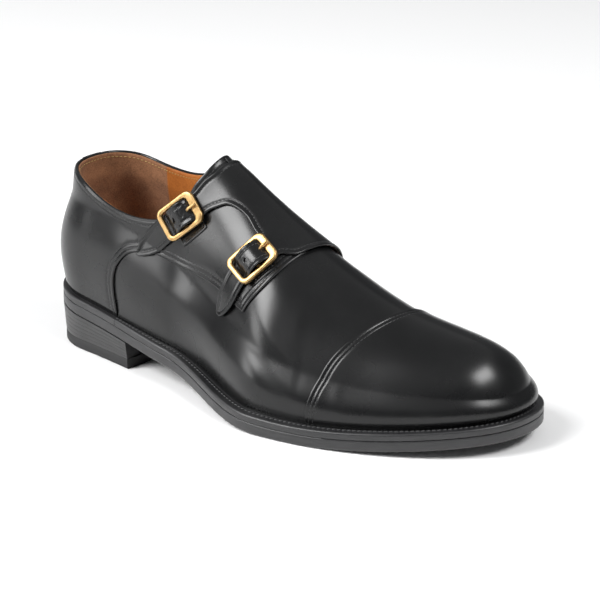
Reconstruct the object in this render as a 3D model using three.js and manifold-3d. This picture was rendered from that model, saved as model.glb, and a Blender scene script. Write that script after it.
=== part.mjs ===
// Double monk strap shoe for the right foot, in millimetres, +Z up.
// The toe points along +X, the inner side of the foot is +Y, and the two buckles are on the outer
// side, -Y. While it is being built x is 0 at the back of the sole; at the end the shoe is moved so
// that its origin is under the middle of its bounding box.
import * as THREE from 'three';
import Module from 'manifold-3d';
import { mergeVertices } from 'three/addons/utils/BufferGeometryUtils.js';

const wasm = await Module();
wasm.setup();

// ---------------------------------------------------------------- driving dimensions
const LENGTH = 300;        // sole, back of the heel to the toe
const HEEL_LENGTH = 71;    // back of the heel to the breast
const EDGE_THICK = 10;     // welt and outsole together
const WELT_THICK = 4;
const TOP_LIFT_THICK = 6;
const HEEL_PITCH = 1.2;    // how far the heel tapers in, down to the ground
const WALL = 2.4;          // leather and lining of the upper
const GAP = 0.3;           // between neighbouring pieces
const RIM = WALL + GAP;    // how far the welt reaches in under the upper
const INSOLE_RISE = 3;     // insole above the welt
const CAP_THICK = 1.2;
const STRAP_THICK = 1.5;
const TONGUE_THICK = 2;
const TONGUE_DROP = 0.9;   // between the tongue and the inside of the upper, clear of its facets
const TAB_THICK = 0.7;
const TAB_LIFT = 0.4;      // clear of the facets of the upper
// Frame along and across the strap, its bar and thickness, its round corners, the rod across its
// middle and how far that sits below the back of the frame, and the height of the frame's plane.
const BUCKLE = {
  along: 25, across: 19, bar: 2.7, thick: 2.4, corner: 3.6, pin: 1.1, sunk: 0.3, plane: 5.85,
};
const PRONG = { radius: 0.9, length: 9.5, reach: 9.6, height: 3.4, tilt: 0.14 };

const OUTER = -1;          // side of the foot with the buckles
const INNER = 1;

// Half widths of the sole edge from the centreline: heel, waist and ball, with where each one lies.
const EDGE = {
  [OUTER]: { heelX: 34, heel: 35, waistX: 102, waist: 38.5, ballX: 182, ball: 59 },
  [INNER]: { heelX: 34, heel: 36, waistX: 112, waist: 31, ballX: 206, ball: 52.5 },
};
const HEEL_ROUND = 2.3;    // powers that round the ends of the sole: 2 would be an ellipse
const TOE_ROUND = { along: 2.3, across: 2.15 };
const BOW = 8.5;           // how far the centreline swings out at the middle of the foot
const TIP_SHIFT = 12;      // and how far it swings back in at the toe,
const TIP_FROM = 0.55;     // from this part of the length on

// The last, a row for each section: height of the feather line (where the upper meets the welt),
// height of the ridge, squareness of the section, how much it narrows upwards, how much it bulges
// over the feather line, and the width of the ledge outside it on the outer and the inner side.
const COLUMNS = ['x', 'feather', 'ridge', 'square', 'taper', 'bulge', 'outerLedge', 'innerLedge'];
const SECTIONS = [
  [0, 33.5, 160, 6.0, 0.30, 0.130, 3.0, 3.0],
  [35, 29.5, 159.5, 6.0, 0.30, 0.125, 3.0, 3.0],
  [60, 27.0, 158, 6.0, 0.30, 0.120, 3.0, 3.0],
  [90, 22.9, 142, 4.6, 0.33, 0.105, 4.3, 3.0],
  [110, 19.8, 123.5, 3.8, 0.33, 0.095, 5.1, 3.2],
  [130, 16.2, 111, 3.0, 0.28, 0.080, 5.9, 3.5],
  [150, 12.9, 99, 2.6, 0.20, 0.065, 6.5, 4.0],
  [170, 10.7, 87.5, 2.4, 0.12, 0.055, 6.5, 4.8],
  [190, 9.9, 76.1, 2.2, 0.11, 0.050, 6.5, 5.6],
  [210, 9.9, 66, 2.12, 0.145, 0.050, 6.5, 6.0],
  [230, 10.9, 58.2, 2.02, 0.165, 0.050, 6.5, 6.2],
  [250, 12.6, 53.4, 2.02, 0.125, 0.050, 6.5, 6.3],
  [270, 14.7, 49.4, 2.12, 0.05, 0.060, 6.5, 6.4],
  [285, 16.4, 46, 2.3, 0, 0.075, 6.5, 6.5],
  [300, 18.0, 38, 2.3, 0, 0.090, 6.5, 6.5],
];
const BULGE_TOP = 0.42;    // part of the height that the bulge takes
const BULGE_EASE = 1.2;    // over 1 so that the bulge starts and ends softly
const SECTION_STEPS = 90;  // fine steps a section is measured with before it is divided evenly
const FAN_HEEL = 33;       // how far the heel sections lean forward at the ridge
const FAN_EASE = 1.3;
const FAN_TOE = 27;        // how far the toe sections lean back
const FAN_LENGTH = 80;     // both die out within this distance of the ends

// Height of the topline seen from the side, on the outer and the inner side.
const TOPLINE = {
  [OUTER]: [[-20, 100], [8, 100], [18, 99], [30, 95.5], [42, 90.5], [60, 86.5], [76, 86],
    [91, 88.5], [101, 93], [109, 101], [115, 110], [119, 126]],
  [INNER]: [[-20, 100], [8, 100], [20, 98.5], [35, 96], [52, 95], [66, 96], [80, 99.5],
    [93, 105], [104, 113], [112, 121], [115, 128]],
};
const THROAT = { back: 104, front: 158, middle: -7, half: 10 };   // slot under the strap panel

// Places on the upper are given as x and g: g is the distance round the section from the ridge,
// minus towards the outer side. Rows of the panel: g, back edge and front edge.
const PANEL = [
  { g: 55, back: 92, front: 162 },
  { g: 42, back: 101, front: 168 },
  { g: 28, back: 109, front: 172 },
  { g: 14, back: 115, front: 175 },
  { g: 2, back: 118, front: 176 },
  { g: -8, back: 117, front: 175 },
  { g: -16, back: 114, front: 174 },
];
// Rows down a strap: its middle, its width and how far it is lifted off the upper by the buckle.
const STRAPS = {
  upper: [
    { x: 122, g: -12, width: 20, lift: 0.4 },
    { x: 117, g: -22, width: 15, lift: 0.9 },
    { x: 114.5, g: -28.5, width: 12.6, lift: 1.6 },
    { x: 112.3, g: -32.5, width: 12.6, lift: 1.6 },
    { x: 106, g: -44, width: 12.6, lift: 6.3 },
    { x: 98.6, g: -57.7, width: 12.6, lift: 1.6 },
    { x: 96, g: -62.5, width: 12.6, lift: 1.6 },
    { x: 92, g: -70, width: 12.5, lift: 1.0 },
    { x: 86.5, g: -80, width: 11, lift: 0.5 },
    { x: 82, g: -87.5, width: 7, lift: 0.4 },
    { x: 78.5, g: -93.5, width: 1.2, lift: 0.4 },
  ],
  lower: [
    { x: 160, g: -8, width: 22, lift: 0.4 },
    { x: 163, g: -14, width: 17, lift: 0.9 },
    { x: 162, g: -18.5, width: 12.6, lift: 1.6 },
    { x: 160.7, g: -21.5, width: 12.6, lift: 1.6 },
    { x: 157, g: -30.5, width: 12.6, lift: 5.1 },
    { x: 152.6, g: -40.2, width: 12.6, lift: 1.6 },
    { x: 151, g: -43.5, width: 12.6, lift: 1.6 },
    { x: 148.5, g: -51, width: 12.5, lift: 1.0 },
    { x: 146, g: -58.5, width: 11.5, lift: 0.5 },
    { x: 143.5, g: -65, width: 7, lift: 0.4 },
    { x: 141.5, g: -69.5, width: 1.2, lift: 0.4 },
  ],
};
const BUCKLE_ROWS = [2, 4, 6];   // rows of each strap at the upper, middle and lower bar of its buckle
const TABS = {
  upper: [{ x: 112.5, g: -32, width: 16 }, { x: 106, g: -44, width: 16 }, { x: 97.5, g: -60, width: 16 }],
  lower: [{ x: 161, g: -21, width: 16 }, { x: 157, g: -30.5, width: 16 }, { x: 152, g: -41.5, width: 16 }],
};
const TONGUE = [
  { g: 24, back: 103, front: 164 },
  { g: 12, back: 109, front: 166 },
  { g: 0, back: 111, front: 167 },
  { g: -12, back: 109, front: 166 },
  { g: -24, back: 103, front: 164 },
];
const CAP_LINE = { x: 227, y: 4, sweep: 17, at: 59 };   // x on the ridge, and how far back it falls

const FINISH = {
  calf: { color: 0x17181b, roughness: 0.32, metalness: 0 },
  edge: { color: 0x121214, roughness: 0.45, metalness: 0 },
  heel: { color: 0x1b1b1d, roughness: 0.5, metalness: 0 },
  rubber: { color: 0x101010, roughness: 0.8, metalness: 0 },
  insole: { color: 0xa9622f, roughness: 0.6, metalness: 0 },
  brass: { color: 0xc9a463, roughness: 0.3, metalness: 1 },
};

// ---------------------------------------------------------------- small maths
const lerp = THREE.MathUtils.lerp;
const clamp01 = (t) => THREE.MathUtils.clamp(t, 0, 1);
const smooth = (t) => THREE.MathUtils.smoothstep(t, 0, 1);

// A smooth curve through the rows [x, y], as height over x.
function through(rows, x) {
  const slope = (i) => (rows[i + 1][1] - rows[i][1]) / (rows[i + 1][0] - rows[i][0]);
  const last = rows.length - 1;
  const at = THREE.MathUtils.clamp(x, rows[0][0], rows[last][0]);
  let i = 0;
  while (i < last - 1 && at > rows[i + 1][0]) i += 1;
  const width = (k) => rows[k + 1][0] - rows[k][0];
  const tangent = (k) => {
    if (k === 0) return slope(0);
    if (k === last) return slope(last - 1);
    return (slope(k - 1) * width(k) + slope(k) * width(k - 1)) / (width(k - 1) + width(k));
  };
  const h = width(i);
  const t = (at - rows[i][0]) / h;
  return (1 + 2 * t) * (1 - t) ** 2 * rows[i][1] + t * (1 - t) ** 2 * h * tangent(i)
    + t * t * (3 - 2 * t) * rows[i + 1][1] + t * t * (t - 1) * h * tangent(i + 1);
}

const column = (name, x) => through(SECTIONS.map((row) => [row[0], row[COLUMNS.indexOf(name)]]), x);

// ---------------------------------------------------------------- plan of the sole
function centreline(x) {
  const t = clamp01(x / LENGTH);
  return -BOW * Math.sin(Math.PI * t) + TIP_SHIFT * smooth((t - TIP_FROM) / (1 - TIP_FROM));
}

function halfWidth(side, x) {
  const e = EDGE[side];
  if (x < e.heelX) {
    return e.heel * (1 - clamp01((e.heelX - x) / e.heelX) ** HEEL_ROUND) ** (1 / HEEL_ROUND);
  }
  if (x < e.waistX) return lerp(e.heel, e.waist, smooth((x - e.heelX) / (e.waistX - e.heelX)));
  if (x < e.ballX) return lerp(e.waist, e.ball, smooth((x - e.waistX) / (e.ballX - e.waistX)));
  const toe = clamp01((x - e.ballX) / (LENGTH - e.ballX)) ** TOE_ROUND.along;
  return e.ball * (1 - toe) ** (1 / TOE_ROUND.across);
}

const ledge = (side, extra = 0) => (x) => column(side === OUTER ? 'outerLedge' : 'innerLedge', x) + extra;

// Points along one side of the sole edge from x = from to x = to, moved in by inset(x).
function edge(side, count, inset = () => 0, from = 0, to = LENGTH) {
  const angle = (x) => Math.acos(1 - 2 * x / LENGTH);
  const plan = (t) => {
    const x = LENGTH / 2 * (1 - Math.cos(t));
    return new THREE.Vector2(x, centreline(x) + side * halfWidth(side, x));
  };
  const step = 1e-3;
  return Array.from({ length: count }, (_, i) => {
    const t = lerp(angle(from), angle(to), i / (count - 1));
    const p = plan(t);
    const run = plan(Math.min(t + step, Math.PI)).sub(plan(Math.max(t - step, 0))).normalize();
    if (t < step) run.set(0, side);
    if (t > Math.PI - step) run.set(0, -side);
    const d = inset(p.x);
    return new THREE.Vector2(p.x + side * d * run.y, p.y - side * d * run.x);
  });
}

// ---------------------------------------------------------------- the last
// One half section from the feather line up to the ridge, as points equally far apart.
function halfSection(foot, back, tip, count) {
  const c = (name) => column(name, foot.x);
  const ridgeX = foot.x + FAN_HEEL * (1 - smooth((foot.x - back) / FAN_LENGTH)) ** FAN_EASE
    - FAN_TOE * clamp01((foot.x - tip + FAN_LENGTH) / FAN_LENGTH) ** 2;
  const ridgeY = centreline(ridgeX);
  const [feather, square, taper, bulge] = ['feather', 'square', 'taper', 'bulge'].map(c);
  const raw = Array.from({ length: SECTION_STEPS }, (_, i) => {
    const k = Math.sin(Math.PI / 2 * i / (SECTION_STEPS - 1));
    const swell = bulge * Math.sin(Math.PI * Math.min(k / BULGE_TOP, 1)) ** BULGE_EASE;
    const w = (1 - taper * k + swell) * Math.sqrt(Math.max(1 - k ** square, 0));
    const x = lerp(ridgeX, foot.x, w);
    return new THREE.Vector3(x, lerp(ridgeY, foot.y, w), lerp(feather, column('ridge', x), k));
  });
  const length = [0];
  for (let i = 1; i < SECTION_STEPS; i += 1) length.push(length[i - 1] + raw[i].distanceTo(raw[i - 1]));
  let i = 0;
  return Array.from({ length: count }, (_, k) => {
    const at = length[SECTION_STEPS - 1] * k / (count - 1);
    while (i < SECTION_STEPS - 2 && length[i + 1] < at) i += 1;
    return raw[i].clone().lerp(raw[i + 1], clamp01((at - length[i]) / (length[i + 1] - length[i])));
  });
}

// The whole last as a grid: rows from heel to toe, columns from the outer feather line over the
// ridge to the inner one. The first and last rows are folded flat, so the sheet closes there.
function lastGrid(stations, columns) {
  const sides = [OUTER, INNER].map((side) => {
    const feet = edge(side, stations, ledge(side));
    return feet.map((foot) => halfSection(foot, feet[0].x, feet[stations - 1].x, columns));
  });
  const points = sides[0].map((outer, i) => [...outer, ...sides[1][i].slice(0, -1).reverse()]);
  const wide = 2 * columns - 1;
  const at = (i, j) => {
    if (i < 0) return points[1][wide - 1 - j];
    if (i >= stations) return points[stations - 2][wide - 1 - j];
    return points[i][j];
  };
  const normals = points.map((row, i) => row.map((_, j) => {
    const along = at(i + 1, j).clone().sub(at(i - 1, j));
    const around = at(i, Math.min(j + 1, wide - 1)).clone().sub(at(i, Math.max(j - 1, 0)));
    return along.cross(around);
  }));
  for (const [i, near] of [[0, 1], [stations - 1, stations - 2]]) {
    normals[i][columns - 1].copy(normals[near][columns - 1]);
  }
  normals.forEach((row) => row.forEach((n) => n.normalize()));
  return { points, normals };
}

// ---------------------------------------------------------------- meshes
function geometryOf(points, triangles) {
  const geometry = new THREE.BufferGeometry();
  const numbers = points.flatMap((p) => [p.x, p.y, p.z]);
  geometry.setAttribute('position', new THREE.Float32BufferAttribute(numbers, 3));
  geometry.setIndex(triangles.flat());
  const merged = mergeVertices(geometry, 1e-3);
  const index = merged.index.array;
  const kept = [];
  for (let i = 0; i < index.length; i += 3) {
    const [a, b, c] = index.slice(i, i + 3);
    if (a !== b && b !== c && c !== a) kept.push(a, b, c);
  }
  merged.setIndex(kept);
  return merged;
}

// Turns a closed geometry right side out if its volume is negative.
function outward(geometry) {
  const index = Array.from(geometry.index.array);
  const position = geometry.attributes.position;
  const corner = (i) => new THREE.Vector3().fromBufferAttribute(position, index[i]);
  let volume = 0;
  for (let i = 0; i < index.length; i += 3) volume += corner(i).dot(corner(i + 1).cross(corner(i + 2)));
  if (volume < 0) {
    for (let i = 0; i < index.length; i += 3) [index[i], index[i + 1]] = [index[i + 1], index[i]];
    geometry.setIndex(index);
  }
  return geometry;
}

// The closed body between two grids of the same size, such as the top and bottom of a slab.
function between(top, bottom) {
  const rows = top.length;
  const wide = top[0].length;
  const points = [...top.flat(), ...bottom.flat()];
  const t = (i, j) => i * wide + j;
  const b = (i, j) => rows * wide + i * wide + j;
  const triangles = [];
  const quad = (p, q, r, s) => triangles.push([p, q, r], [p, r, s]);
  for (let i = 0; i < rows - 1; i += 1) {
    for (let j = 0; j < wide - 1; j += 1) {
      quad(t(i, j), t(i + 1, j), t(i + 1, j + 1), t(i, j + 1));
      quad(b(i, j), b(i, j + 1), b(i + 1, j + 1), b(i + 1, j));
    }
    quad(t(i, 0), b(i, 0), b(i + 1, 0), t(i + 1, 0));
    quad(t(i, wide - 1), t(i + 1, wide - 1), b(i + 1, wide - 1), b(i, wide - 1));
  }
  for (let j = 0; j < wide - 1; j += 1) {
    quad(t(0, j), t(0, j + 1), b(0, j + 1), b(0, j));
    quad(t(rows - 1, j), b(rows - 1, j), b(rows - 1, j + 1), t(rows - 1, j + 1));
  }
  return outward(geometryOf(points, triangles));
}

// A geometry as a solid that can be added, cut and intersected.
function solid(geometry) {
  const plain = geometry.clone();
  plain.deleteAttribute('normal');
  plain.deleteAttribute('uv');
  const merged = outward(mergeVertices(plain, 1e-4));
  return new wasm.Manifold(new wasm.Mesh({
    numProp: 3,
    vertProperties: new Float32Array(merged.attributes.position.array),
    triVerts: new Uint32Array(merged.index.array),
  }));
}

function geometryFrom(manifold) {
  const mesh = manifold.getMesh();
  const geometry = new THREE.BufferGeometry();
  geometry.setAttribute('position', new THREE.BufferAttribute(new Float32Array(mesh.vertProperties), 3));
  geometry.setIndex(new THREE.BufferAttribute(new Uint32Array(mesh.triVerts), 1));
  return geometry;
}

// ---------------------------------------------------------------- forms cut from the last
const COARSE = lastGrid(46, 11);
const FINE = lastGrid(140, 50);

// The last grown by offset as one closed body, its foot at the given height over the feather line.
function grownLast(offset, foot) {
  const sheet = COARSE.points.map((row, i) => {
    const grown = row.map((p, j) => p.clone().addScaledVector(COARSE.normals[i][j], offset));
    const feather = row[0].z;
    for (const j of [0, row.length - 1]) grown[j].z = feather + Math.max(foot, 0);
    if (foot >= 0) return grown;
    const skirt = [grown[0], grown[grown.length - 1]].map((p) => p.clone().setZ(feather + foot));
    return [skirt[0], ...grown, skirt[1]];
  });
  const wide = sheet[0].length;
  const id = (i, j) => i * wide + j;
  const triangles = [];
  for (let i = 0; i < sheet.length - 1; i += 1) {
    for (let j = 0; j < wide; j += 1) {
      const next = (j + 1) % wide;
      triangles.push([id(i, j), id(i + 1, j), id(i + 1, next)], [id(i, j), id(i + 1, next), id(i, next)]);
    }
  }
  return solid(geometryOf(sheet.flat(), triangles));
}

// A prism along one axis: outline points [a, b] in the plane across it, from low to high.
function prism(outline, low, high, place) {
  const shape = new THREE.Shape(outline.map(([a, b]) => new THREE.Vector2(a, b)));
  const geometry = new THREE.ExtrudeGeometry(shape, { depth: high - low, bevelEnabled: false });
  geometry.translate(0, 0, low);
  geometry.applyMatrix4(place);
  return solid(geometry);
}

const UPRIGHT = new THREE.Matrix4();
// The outline's second number becomes z and the prism runs along y.
const SIDEWAYS = new THREE.Matrix4().set(1, 0, 0, 0, 0, 0, 1, 0, 0, 1, 0, 0, 0, 0, 0, 1);

// ---------------------------------------------------------------- places on the last
const ridgeColumn = (FINE.points[0].length - 1) / 2;

// The point and normal at x and at the distance g round the section from the ridge.
function onLast(x, g) {
  const side = g < 0 ? OUTER : INNER;
  const edgeColumn = side === OUTER ? 0 : 2 * ridgeColumn;
  let i = 0;
  while (i < FINE.points.length - 2 && FINE.points[i + 1][edgeColumn].x < x) i += 1;
  const stationX = (k) => FINE.points[k][edgeColumn].x;
  const t = clamp01((x - stationX(i)) / (stationX(i + 1) - stationX(i)));
  const place = [i, i + 1].map((k) => {
    let left = Math.abs(g);
    let j = ridgeColumn;
    for (;;) {
      const run = FINE.points[k][j].distanceTo(FINE.points[k][j + side]);
      if (left <= run || j + 2 * side === edgeColumn) return { k, j, f: clamp01(left / run) };
      left -= run;
      j += side;
    }
  });
  const blend = (grid) => {
    const [a, b] = place.map(({ k, j, f }) => grid[k][j].clone().lerp(grid[k][j + side], f));
    return a.lerp(b, t);
  };
  return { point: blend(FINE.points), normal: blend(FINE.normals).normalize() };
}

const liftedFrom = ({ point, normal }, height) => point.clone().addScaledVector(normal, height);

// Drops a free point onto the last and lifts it off by height.
function laid(point, height) {
  let best = { distance: Infinity };
  FINE.points.forEach((row, i) => row.forEach((p, j) => {
    const distance = p.distanceToSquared(point);
    if (distance < best.distance) best = { distance, p, n: FINE.normals[i][j] };
  }));
  const above = point.clone().sub(best.p).dot(best.n);
  return point.clone().addScaledVector(best.n, height - above);
}

// A sheet of leather on the last from rows of g, back and front, between two heights off it.
function sheetOn(rows, low, high, across = 9, perRow = 3) {
  const table = (name) => rows.map((row) => [-row.g, row[name]]);
  const first = rows[0].g;
  const last = rows[rows.length - 1].g;
  const steps = (rows.length - 1) * perRow;
  const grid = (height) => Array.from({ length: steps + 1 }, (_, i) => {
    const g = lerp(first, last, i / steps);
    const back = through(table('back'), -g);
    const front = through(table('front'), -g);
    return Array.from({ length: across }, (_, j) => {
      const x = lerp(back, front, j / (across - 1));
      return liftedFrom(onLast(x, g), height);
    });
  });
  return between(grid(high), grid(low));
}

// A strap down the last: rows of x, g, width and lift, made smooth between the rows.
function strapOn(rows, thick, perRow = 3, across = 4) {
  const places = rows.map((row) => onLast(row.x, row.g).point);
  const curve = new THREE.CatmullRomCurve3(places, false, 'centripetal');
  const steps = (rows.length - 1) * perRow;
  const value = (name, t) => through(rows.map((row, i) => [i, row[name]]), t * (rows.length - 1));
  const grid = (extra) => Array.from({ length: steps + 1 }, (_, i) => {
    const t = i / steps;
    const middle = curve.getPoint(t);
    const normal = laid(middle, 1).sub(laid(middle, 0));
    const sideways = normal.cross(curve.getTangent(t)).normalize();
    return Array.from({ length: across }, (_, j) => {
      const off = value('width', t) * (j / (across - 1) - 0.5);
      return laid(middle.clone().addScaledVector(sideways, off), value('lift', t) + extra);
    });
  });
  return between(grid(thick), grid(0));
}

// ---------------------------------------------------------------- pieces
const featherZ = (x) => column('feather', x);

// A slab across the whole foot between two heights, from x = from to x = to.
function slab({ count, inset, foot = inset, top, bottom, from = 0, to = LENGTH, across = 3 }) {
  const grid = (moved, height) => {
    const [outer, inner] = [OUTER, INNER].map((side) => edge(side, count, moved(side), from, to));
    return outer.map((p, i) => Array.from({ length: across }, (_, j) => {
      const q = p.clone().lerp(inner[i], j / (across - 1));
      return new THREE.Vector3(q.x, q.y, height(q.x));
    }));
  };
  return between(grid(inset, top), grid(foot, bottom));
}

// The welt or the heel rand: a strip along the sole edge, from the edge in to under the upper.
function rim(path, top, bottom) {
  const grid = (height) => path.map((pair) => pair.map((p) => new THREE.Vector3(p.x, p.y, height(p.x))));
  return between(grid(top), grid(bottom));
}

const edgePairs = (side, count, from, to) => {
  const outside = edge(side, count, () => 0, from, to);
  const inside = edge(side, count, ledge(side, RIM), from, to);
  return outside.map((p, i) => [p, inside[i]]);
};

const weltBottom = (x) => featherZ(x) - WELT_THICK;
const outsoleTop = (x) => weltBottom(x) - GAP;
const outsoleBottom = (x) => Math.max(featherZ(x) - EDGE_THICK, 0);
const heelTop = (x) => outsoleBottom(x) - GAP;

function outsole() {
  return slab({ count: 60, inset: () => () => 0, top: outsoleTop, bottom: outsoleBottom });
}

// The heel tapers in evenly; most of the taper is on the stack, the rest on the top lift.
const heelInset = (share) => () => () => HEEL_PITCH * share;
const STACK_SHARE = 0.75;

function heelStack() {
  return slab({
    count: 24, to: HEEL_LENGTH, inset: heelInset(0), foot: heelInset(STACK_SHARE), top: heelTop,
    bottom: () => TOP_LIFT_THICK,
  });
}

function topLift() {
  return slab({
    count: 24, to: HEEL_LENGTH, inset: heelInset(STACK_SHARE), foot: heelInset(1),
    top: () => TOP_LIFT_THICK - GAP, bottom: () => 0,
  });
}

const RAND_END = 62;       // the heel rand gives way to the welt just ahead of the breast line

function welt() {
  const outer = edgePairs(OUTER, 44, RAND_END, LENGTH);
  const inner = edgePairs(INNER, 44, RAND_END, LENGTH).reverse();
  return rim([...outer, ...inner.slice(1)], featherZ, weltBottom);
}

function heelRand() {
  const outer = edgePairs(OUTER, 18, 0, RAND_END - GAP).reverse();
  const inner = edgePairs(INNER, 18, 0, RAND_END - GAP);
  return rim([...outer, ...inner.slice(1)], featherZ, weltBottom);
}

function insole() {
  return slab({
    count: 44, inset: (side) => ledge(side, RIM + GAP), top: (x) => featherZ(x) + INSOLE_RISE,
    bottom: weltBottom,
  });
}

// Heights and a half width that lie clear of the shoe, for the prisms it is cut with.
const CLEAR = { above: 220, aside: 90, throat: 70 };

// What is cut away above the topline on one side.
function aboveTopline(side) {
  const rows = TOPLINE[side];
  const [from, to] = [rows[0][0], rows[rows.length - 1][0]];
  const steps = 30;
  const line = Array.from({ length: steps + 1 }, (_, i) => {
    const x = lerp(from, to, i / steps);
    return [x, through(rows, x)];
  });
  const ends = [THROAT.middle, CLEAR.aside * side].sort((a, b) => a - b);
  return prism([...line, [to, CLEAR.above], [from, CLEAR.above]], ...ends, SIDEWAYS);
}

// The slot of the throat: straight sides and a round end, seen from above.
function throatSlot() {
  const { back, front, middle, half } = THROAT;
  const end = front - half;
  const steps = 10;
  const round = Array.from({ length: steps + 1 }, (_, i) => {
    const a = -Math.PI / 2 + Math.PI * i / steps;
    return [end + half * Math.cos(a), middle + half * Math.sin(a)];
  });
  const outline = [[back, middle - half], ...round, [back, middle + half]];
  return prism(outline, CLEAR.throat, CLEAR.above, UPRIGHT);
}

function upper() {
  const shell = grownLast(0, GAP).subtract(grownLast(-WALL, -EDGE_THICK));
  const open = aboveTopline(OUTER).add(aboveTopline(INNER)).add(throatSlot());
  return geometryFrom(shell.subtract(open));
}

function toeCap() {
  const { x, y, sweep, at } = CAP_LINE;
  const steps = 16;
  const line = Array.from({ length: steps + 1 }, (_, i) => {
    const across = lerp(-CLEAR.aside, CLEAR.aside, i / steps);
    return [x - sweep * ((across - y) / at) ** 2, across];
  });
  const ahead = [[LENGTH + CLEAR.aside, CLEAR.aside], [LENGTH + CLEAR.aside, -CLEAR.aside]];
  const front = prism([...line, ...ahead], 0, CLEAR.above, UPRIGHT);
  const shell = grownLast(GAP + CAP_THICK, GAP).subtract(grownLast(GAP, -EDGE_THICK));
  return geometryFrom(shell.intersect(front));
}

function tongue() {
  const top = -(WALL + TONGUE_DROP);
  return sheetOn(TONGUE, top - TONGUE_THICK, top, 8, 3);
}

function strapPanel() {
  const low = STRAPS.upper[0].lift;
  const body = solid(sheetOn(PANEL, low, low + STRAP_THICK));
  const straps = Object.values(STRAPS).map((rows) => solid(strapOn(rows, STRAP_THICK)));
  return geometryFrom(straps.reduce((sum, strap) => sum.add(strap), body));
}

function tab(rows) {
  return strapOn(rows.map((row) => ({ ...row, lift: TAB_LIFT })), TAB_THICK);
}

// A rectangle with round corners, centred, as a shape or as a hole.
function roundedRectangle(Kind, across, along, corner) {
  const [a, b] = [across / 2, along / 2];
  const path = new Kind();
  path.moveTo(-a + corner, -b);
  path.lineTo(a - corner, -b);
  path.absarc(a - corner, -b + corner, corner, -Math.PI / 2, 0);
  path.lineTo(a, b - corner);
  path.absarc(a - corner, b - corner, corner, 0, Math.PI / 2);
  path.lineTo(-a + corner, b);
  path.absarc(-a + corner, b - corner, corner, Math.PI / 2, Math.PI);
  path.lineTo(-a, -b + corner);
  path.absarc(-a + corner, -b + corner, corner, Math.PI, 1.5 * Math.PI);
  return path;
}

// The brass frame in its own plane, with the bar across its middle that it turns on.
function buckle() {
  const { along, across, bar, thick, corner, pin, sunk } = BUCKLE;
  const outline = roundedRectangle(THREE.Shape, across, along, corner);
  outline.holes.push(roundedRectangle(THREE.Path, across - 2 * bar, along - 2 * bar, corner - bar / 2));
  const extrusion = { depth: thick, bevelEnabled: false, curveSegments: 5 };
  const frame = new THREE.ExtrudeGeometry(outline, extrusion);
  frame.translate(0, 0, -thick / 2);
  const rod = new THREE.CylinderGeometry(pin, pin, across - bar, 10);
  rod.rotateZ(Math.PI / 2);
  rod.translate(0, 0, pin - thick / 2 - sunk);
  return geometryFrom(solid(frame).add(solid(rod)));
}

function prong() {
  return geometryFrom(solid(new THREE.CapsuleGeometry(PRONG.radius, PRONG.length, 3, 8)));
}

// ---------------------------------------------------------------- the shoe
const shoe = new THREE.Group();

function add(name, geometry, finish, parent = shoe) {
  const mesh = new THREE.Mesh(geometry, new THREE.MeshStandardMaterial(FINISH[finish]));
  mesh.name = name;
  parent.add(mesh);
  return mesh;
}

add('outsole', outsole(), 'edge');
add('welt', welt(), 'edge');
add('heel_rand', heelRand(), 'edge');
add('heel_stack', heelStack(), 'heel');
add('top_lift', topLift(), 'rubber');
add('insole', insole(), 'insole');
add('upper', upper(), 'calf');
add('toe_cap', toeCap(), 'calf');
add('tongue', tongue(), 'calf');
add('strap_panel', strapPanel(), 'calf');

for (const [name, rows] of Object.entries(STRAPS)) {
  add(`buckle_tab_${name}`, tab(TABS[name]), 'calf');

  // The buckle lies on the chord between the places of its two end bars. Its own axes: x across
  // the strap, y up the strap, z away from the foot.
  const [high, middle, low] = BUCKLE_ROWS.map((k) => onLast(rows[k].x, rows[k].g));
  const up = high.point.clone().sub(low.point).normalize();
  const across = up.clone().cross(middle.normal).normalize();
  const away = across.clone().cross(up);
  const place = new THREE.Group();
  place.position.copy(high.point).lerp(low.point, 0.5).addScaledVector(away, BUCKLE.plane);
  place.quaternion.setFromRotationMatrix(new THREE.Matrix4().makeBasis(across, up, away));
  add(`buckle_${name}`, buckle(), 'brass', place);
  const pin = add(`prong_${name}`, prong(), 'brass', place);
  pin.position.set(0, PRONG.reach, PRONG.height);
  pin.rotation.x = -PRONG.tilt;
  shoe.add(place);
}

// Origin under the middle of the bounding box.
const box = new THREE.Box3().setFromObject(shoe);
const centre = box.getCenter(new THREE.Vector3());
shoe.position.set(-centre.x, -centre.y, -box.min.z);

export default shoe;
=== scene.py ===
"""Double monk strap shoe for the right foot.

The shoe is worked out in millimetres from the back of the heel (x = 0), with the toe along +x, the
inner side of the foot at +y and the floor at z = 0. metres() takes those sizes into the frame.
"""
import math

import bmesh
import bpy
import numpy as np
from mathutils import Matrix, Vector
from mathutils.geometry import delaunay_2d_cdt
from mathutils.kdtree import KDTree


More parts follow.
